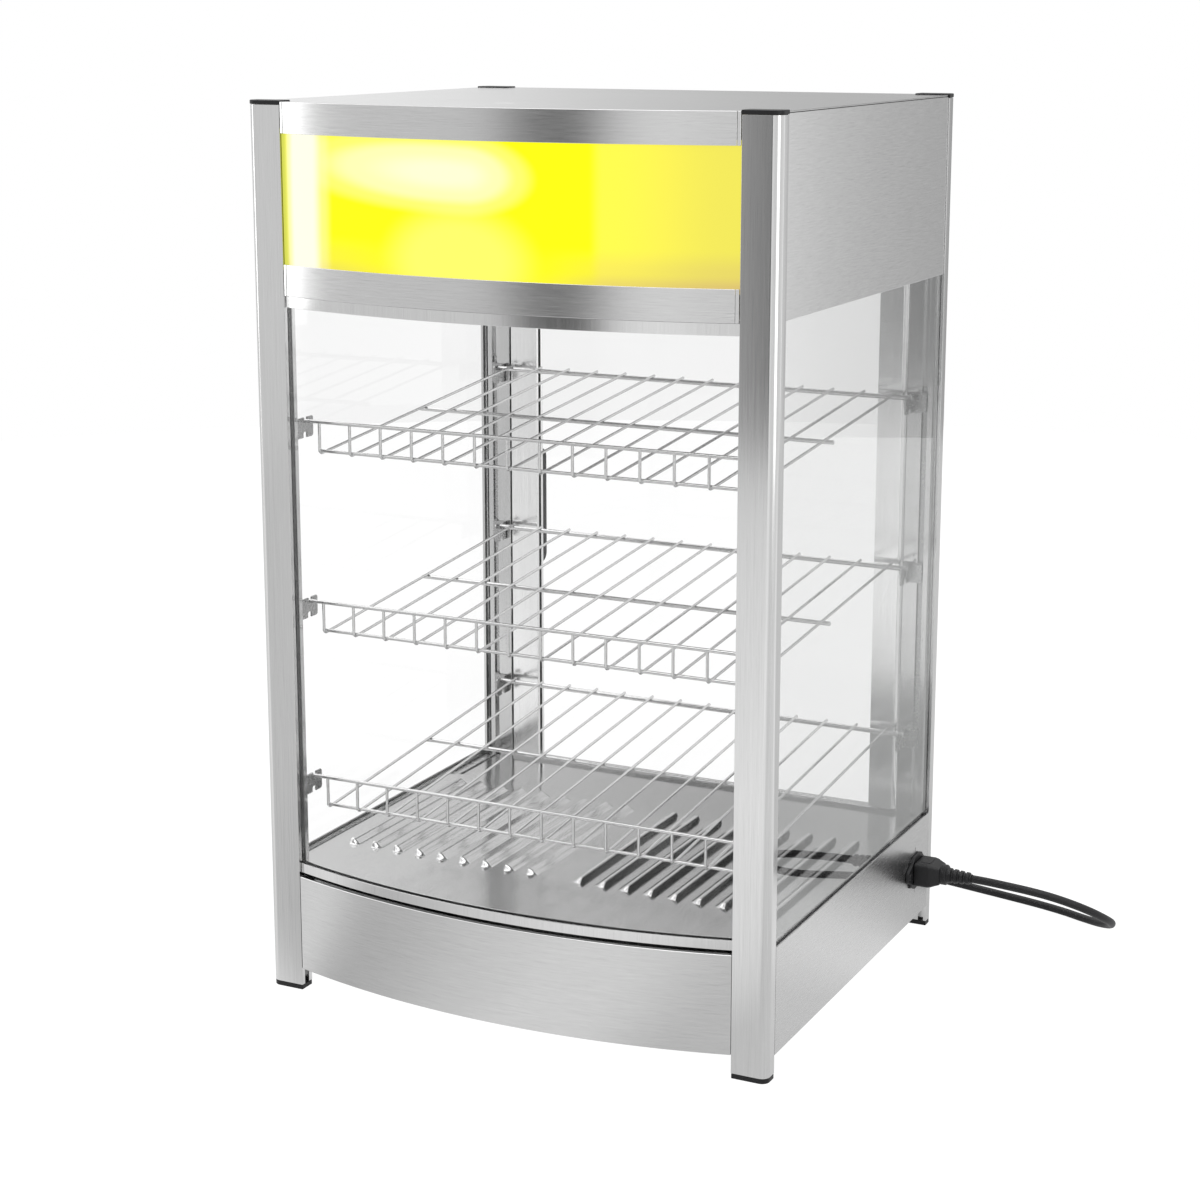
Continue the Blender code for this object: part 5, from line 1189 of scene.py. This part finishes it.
class WARMER_OT_base(bpy.types.Operator):
    """Adds the bowed base front and the louvred floor, and rounds the base's sheets"""

    bl_idname = "warmer.base"
    bl_label = "Base"

    def execute(self, context):
        edge, flange = context.scene.warmer.metal.edge, 13 * MM
        section = folded(*levels("base_front_panel"), flange, flange)
        front = bowed("base_front_panel_fine", section, *BETWEEN_COLUMNS, 0.8 * MM, 3)
        place(front, "panel_steel", "base_front_panel")
        for node in ("base_side_left", "base_side_right", "base_rear_panel"):
            refined(node, "side_steel", edge)
        refined("bottom_pan", "deck_steel", 0)
        self.add_floor_plate()
        self.add_louvres()
        return {"FINISHED"}

    def add_floor_plate(self):
        """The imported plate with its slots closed, and narrower ones cut under the louvres."""
        plate = merged_copy("floor_plate")
        reach = INNER_X + 10 * MM
        front, rear = LOUVRE_FRONT - 12 * MM, LOUVRE_REAR + 12 * MM
        with Shaping(plate) as shaping:
            shaping.pick(
                "FACE",
                lambda at, normal: abs(normal.z) < 0.5
                and abs(at.x - MIDDLE.x) < reach
                and front < at.y - MIDDLE.y < rear,
            )
            bpy.ops.mesh.delete(type="FACE")
            shaping.everything()
            bpy.ops.mesh.fill_holes(sides=0)
            shaping.everything()
            bpy.ops.mesh.dissolve_limited(angle_limit=FLAT)
            shaping.tidy()
        width, gap, depth = 3.6 * MM, 4.6 * MM, 20 * MM
        front, rear = LOUVRE_FRONT + 3 * MM, LOUVRE_REAR - 3 * MM
        low = MIDDLE + Vector((LOUVRE_FIRST - gap - width, front, FLOOR_TOP - depth / 2))
        cutter = extruded("louvre_cutter", upright(low, width, depth), (0, rear - front, 0))
        for cutters in self.rows(cutter, "louvre_cutters"):
            apply_modifier(plate, "BOOLEAN", object=cutters, operation="DIFFERENCE")
            bpy.data.objects.remove(cutters)
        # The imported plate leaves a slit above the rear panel's flange, and a lip closes it
        edge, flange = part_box("floor_plate")[1].y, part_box("base_rear_panel")
        low = Vector((flange[0].x, edge - SHEET, FLOOR_TOP - 3 * MM))
        outline = upright(low, flange[1].x - flange[0].x, flange[1].z - low.z)
        lip = extruded("floor_lip", outline, (0, SHEET - FIT, 0))
        place(joined([plate, lip], "floor_plate_fine"), "deck_steel", "floor_plate")

    def rows(self, piece, name):
        """The first louvre's piece repeated along a row at the right, and that row's copy at the left."""
        copies = [copied(piece, name, (slot * LOUVRE_PITCH, 0, 0)) for slot in range(1, LOUVRES)]
        right = joined([piece, *copies], f"{name}_right")
        left = copied(right, f"{name}_left", (0, 0, 0))
        with Shaping(left) as shaping:
            bpy.ops.transform.resize(value=(-1, 1, 1), center_override=MIDDLE)
            bpy.ops.mesh.flip_normals()
        return left, right

    def add_louvres(self):
        """Raised scoops over the slots: one is modelled, and the others are its copies."""
        width, height, thickness = LOUVRE_WIDTH, 4.6 * MM, 0.9 * MM
        end = 0.55  # how far an end runs out, as a share of the width
        profile = [(width, 0), (0.93 * width, 0.04), (0.80 * width, 0.18), (0.62 * width, 0.48)]
        profile += [(0.45 * width, 0.76), (0.30 * width, 0.91), (0.15 * width, 0.98), (0, 1)]
        start = MIDDLE + Vector((LOUVRE_FIRST, LOUVRE_FRONT + width * end, FLOOR_TOP + 0.05 * MM))
        corners = [start + Vector((0, -out, up * height)) for out, up in profile]
        hood = drawn("louvre", corners, closed=False)
        run = LOUVRE_REAR - LOUVRE_FRONT - 2 * width * end
        with Shaping(hood) as shaping:
            quarter, steps, up = -math.pi / 2, 6, (0, 0, 1)
            shaping.spin(steps, quarter, start, up)
            shaping.extrude((0, run, 0))
            shaping.spin(steps, quarter, start + Vector((0, run, 0)), up)
            for along, beyond in ((start.y, -1), (start.y + run, 1)):
                shaping.pick("VERT", lambda at, _: (at.y - along) * beyond > MERGE)
                bpy.ops.transform.resize(value=(1, end, 1), center_override=(start.x, along, start.z))
            shaping.tidy()
            shaping.pick("FACE", lambda _, normal: normal.z < 0)
            bpy.ops.mesh.flip_normals()
        apply_modifier(hood, "SOLIDIFY", thickness=thickness, offset=-1)
        soften(hood, 0.2 * MM, 2, 50)
        for row in self.rows(hood, "floor_louvres"):
            place(row, "deck_steel")


CLIP_TOP, CLIP_FOOT = 3.1 * MM, -13.7 * MM  # from the axis of the shelf's rail
CLIP_NEAR = 4.2 * MM
GROOVE_NEAR, GROOVE_FAR = 13.4 * MM, 17.6 * MM
RAIL_TOP = 3.45 * MM  # from the axis of the front and rear rails up to the top of a shelf


def clip_outline(rail, radius):
    """A clip's plate from the side, as (from the column, up from the rail's axis) points."""
    seat = radius + 0.3 * MM
    far, top, foot, slot = rail + 10.8 * MM, CLIP_TOP, CLIP_FOOT, -8.8 * MM
    points = [(FIT, foot), (rail - 3.6 * MM, foot), (rail - 3.6 * MM, -10 * MM), (rail - 2.4 * MM, slot)]
    points += [(rail + 0.4 * MM, slot), (rail + 1.6 * MM, -10 * MM), (rail + 1.6 * MM, foot)]
    points += [(far - 2.4 * MM, foot), (far - 0.7 * MM, foot + 0.7 * MM), (far, foot + 2.4 * MM)]
    points += [(far, top - 1.2 * MM), (far - 1.2 * MM, top), (rail + seat + 0.6 * MM, top)]
    points += arc((rail, 0), seat, 0, -2)
    return points + [(rail - seat - 0.6 * MM, top), (FIT, top)]


class WARMER_OT_shelves(bpy.types.Operator):
    """Adds the three wire shelves and the clips that carry them"""

    bl_idname = "warmer.shelves"
    bl_label = "Shelves"

    def execute(self, context):
        heights = {name: levels(f"shelf_{name}") for name in ("upper", "middle", "lower")}
        bottom, top = heights["upper"]
        shelf = self.make_shelf(context.scene.warmer.wire, top - RAIL_TOP)
        for name, (low, _) in heights.items():
            made = copied(shelf, f"shelf_{name}_wires", (0, 0, low - bottom))
            place(made, "bright_wire", f"shelf_{name}", body=f"{name}_shelf", smooth=60)
        bpy.data.objects.remove(shelf)
        rails = [high - RAIL_TOP for _, high in heights.values()]
        for name, corner in CORNERS.items():
            self.add_clips(name, corner, rails)
        return {"FINISHED"}

    def add_clips(self, name, corner, rails):
        """A strip in the column's groove, and on it a plate for each shelf, notched for the shelf's rail."""
        front = corner[1] < 0
        outline = clip_outline(18 * MM, 1.5 * MM) if front else clip_outline(10 * MM, 2.2 * MM)
        face = COLUMN_DEPTH
        flange = rectangle(CLIP_NEAR, GROOVE_FAR, face + FIT, face + 1.8 * MM)
        tooth = rectangle(GROOVE_NEAR, GROOVE_FAR, face - 3.6 * MM, face + 1 * MM)
        strip = rectangle(GROOVE_NEAR, GROOVE_FAR, face - 3.7 * MM, face - 2.2 * MM)
        edge = (0.3 * MM, 2, 50)
        parts = []
        for rail in rails:
            corners = [at_corner([(CLIP_NEAR, face + out)], *corner, rail + up)[0] for out, up in outline]
            parts.append(extruded("clip_plate", corners, (corner[0] * 1.5 * MM, 0, 0), *edge))
            corners = at_corner(flange, *corner, rail + CLIP_FOOT)
            parts.append(extruded("clip_flange", corners, (0, 0, CLIP_TOP - CLIP_FOOT), *edge))
            corners = at_corner(tooth, *corner, rail - 6 * MM)
            parts.append(extruded("clip_tooth", corners, (0, 0, 10 * MM)))
        low, high = min(rails) - 14 * MM, max(rails) + 9 * MM
        strip = extruded("clip_strip", at_corner(strip, *corner, low), (0, 0, high - low), 0.2 * MM, 2, 50)
        place(joined([strip, *parts], f"shelf_clips_{name}_fine"), "clip_steel", f"shelf_clips_{name}")

    def make_shelf(self, settings, level):
        """Wires that run down to the front and up to its rail, and the four rails across them."""
        half = INNER_X - 8.5 * MM
        front, rear = MIDDLE.y - 160 * MM, MIDDLE.y + 172 * MM
        path = [(rear, level + 2.9 * MM), (front, level - 26.1 * MM), (front, level)]
        path = [(MIDDLE.x - half, y, z) for y, z in path]
        wires = [bent_wire("shelf_wire", path, settings.radius, settings.bend, settings.sides, 0.4 * MM)]
        for step in range(1, settings.count):
            wires.append(copied(wires[0], "shelf_wire", (2 * half * step / (settings.count - 1), 0, 0)))
        rails = (
            (-160, 0, INNER_X + 8 * MM, 1.5),
            (-157.6, -24, INNER_X - 6 * MM, 1.4),
            (10, -14.2, INNER_X - 3 * MM, 1.8),
            (168, 0, INNER_X + 8 * MM, 2.2),
        )
        for along, drop, half, radius in rails:
            ends = [MIDDLE + Vector((x, along * MM, level + drop * MM)) for x in (-half, half)]
            wires.append(bent_wire("shelf_rail", ends, radius * MM, 0, settings.sides + 4, 0.5 * MM))
        return joined(wires, "shelf")


class WARMER_OT_door(bpy.types.Operator):
    """Rounds the rear door's stiles and glass, and adds its handle"""

    bl_idname = "warmer.door"
    bl_label = "Door"

    def execute(self, context):
        for node in ("door_stile_hinge", "door_stile_free"):
            refined(node, "stile_aluminium", 0.4 * MM, "rear_door")
        refined("door_glass", "door_clear_glass", 0.3 * MM, "rear_door")
        low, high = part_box("door_handle")
        bar, corner = 7 * MM, 9 * MM
        inner = corner - bar
        bottom, top = (high.y - corner, low.z + corner), (high.y - corner, high.z - corner)
        outline = [(low.y, low.z)] + arc(bottom, corner, -1, 0) + arc(top, corner, 0, 1)
        outline += [(low.y, high.z), (low.y, high.z - bar)]
        outline += arc(top, inner, 1, 0) + arc(bottom, inner, 0, -1) + [(low.y, low.z + bar)]
        corners = [(low.x, y, z) for y, z in outline]
        handle = extruded("door_handle_fine", corners, (high.x - low.x, 0, 0), 1.6 * MM, 4, 50)
        place(handle, "black_plastic", "door_handle", body="rear_door")
        return {"FINISHED"}


class WARMER_OT_controls(bpy.types.Operator):
    """Adds the knob and the pilot lamp at the rear, and rounds the thermostat and the switch"""

    bl_idname = "warmer.controls"
    bl_label = "Controls"

    def execute(self, context):
        refined("thermostat", "black_plastic", 0.4 * MM)
        refined("switch_body", "black_plastic", 0.3 * MM)
        refined("switch_rocker", "black_plastic", 0.4 * MM, "rocker")
        self.add_knob()
        self.add_pilot_lamp()
        return {"FINISHED"}

    def add_pilot_lamp(self):
        """A collar in the rear panel with a domed amber lens."""
        low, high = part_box("pilot_lamp")
        middle = (low + high) / 2
        foot = Vector((middle.x, high.y - 2.7 * MM, middle.z))
        radius, neck, brim, rise = (high.x - low.x) / 2, (high.x - low.x) / 2 - 1 * MM, 1.2 * MM, 1.5 * MM
        profile = [(0, low.y - foot.y), (neck, low.y - foot.y), (neck, FIT), (radius, FIT), (radius, brim)]
        dome, steps = radius - 0.8 * MM, 6
        for out, up in arc((0, 0), 1, 0, 1, steps)[1:-1]:
            profile.append((dome * out, brim + rise * up))
        profile.append((0, brim + rise))
        lens = turned("pilot_lamp_fine", profile, foot, (0, 1, 0), 28)
        place(lens, "amber_lens", "pilot_lamp")

    def add_knob(self):
        """A tapered knob on a skirt and a short sleeve, with a pointer across its face."""
        low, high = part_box("thermostat_knob")
        middle = (low + high) / 2
        base = Vector((middle.x, low.y, middle.z))
        radius, top = (high.x - low.x) / 2 / MM, (high.y - low.y) / MM
        profile = [(0, 12), (3.3, 12), (3.3, 0), (radius - 0.6, 0), (radius, 0.6), (radius, 3.2)]
        profile += [(radius - 1.2, 4.2), (13.6, 5), (12.9, top - 2.4), (12.2, top - 1.5), (0, top - 1.2)]
        profile = [(out * MM, along * MM) for out, along in profile]
        knob = turned("thermostat_knob_fine", profile, base, (0, 1, 0), 72)
        far = radius - 1.4
        pointer = [(-1.5, 6.5), (1.5, 6.5), (1.1, far), (-1.1, far)]
        pointer = [base + Vector((x, 1.4, z)) * MM for x, z in pointer]
        rib = extruded("knob_pointer", pointer, (0, (top - 1.4) * MM, 0), 0.5 * MM)
        knob = joined([knob, rib], "thermostat_knob_fine")
        place(knob, "black_plastic", "thermostat_knob", body="knob")


class WARMER_OT_heater(bpy.types.Operator):
    """Rounds the heating tube, its brackets, the lamp and the mains inlet"""

    bl_idname = "warmer.heater"
    bl_label = "Heater and lamp"

    def execute(self, context):
        for end in ("front", "rear"):
            refined(f"element_bracket_{end}", "side_steel", 0.2 * MM)
        refined("heating_element", "element_steel", 0, smooth=60)
        refined("lamp_holder", "black_plastic", 0.4 * MM)
        refined("lamp_bulb", "lamp_glass", 0, smooth=60)
        refined("mains_inlet", "black_plastic", 0.5 * MM)
        return {"FINISHED"}


class WARMER_PT_panel(bpy.types.Panel):
    """Lists the warmer's sizes and colours, and what makes its pieces"""

    bl_idname = "WARMER_PT_panel"
    bl_label = "Food Warmer"
    bl_space_type = "VIEW_3D"
    bl_region_type = "UI"
    bl_category = "Warmer"

    def draw(self, context):
        for step in STEPS:
            self.layout.operator(step.bl_idname)
        for group in ("stage", "metal", "sign", "glass", "column", "wire", "cord"):
            settings = getattr(context.scene.warmer, group)
            box = self.layout.box()
            box.label(text=group.title())
            for name in settings.__annotations__:
                box.prop(settings, name)


STEPS = (
    WARMER_OT_stage,
    WARMER_OT_finishes,
    WARMER_OT_cord,
    WARMER_OT_columns,
    WARMER_OT_header,
    WARMER_OT_glazing,
    WARMER_OT_base,
    WARMER_OT_shelves,
    WARMER_OT_door,
    WARMER_OT_controls,
    WARMER_OT_heater,
)
GROUPS = (
    WarmerStage,
    WarmerMetal,
    WarmerSign,
    WarmerGlass,
    WarmerColumn,
    WarmerWire,
    WarmerCord,
    WarmerSettings,
)


def register():
    for kind in (*GROUPS, *STEPS, WARMER_PT_panel):
        bpy.utils.register_class(kind)
    bpy.types.Scene.warmer = PointerProperty(type=WarmerSettings)


def unregister():
    del bpy.types.Scene.warmer
    for kind in reversed((*GROUPS, *STEPS, WARMER_PT_panel)):
        bpy.utils.unregister_class(kind)


def main():
    register()
    for step in STEPS:
        family, name = step.bl_idname.split(".")
        getattr(getattr(bpy.ops, family), name)()


if __name__ == "__main__":
    main()
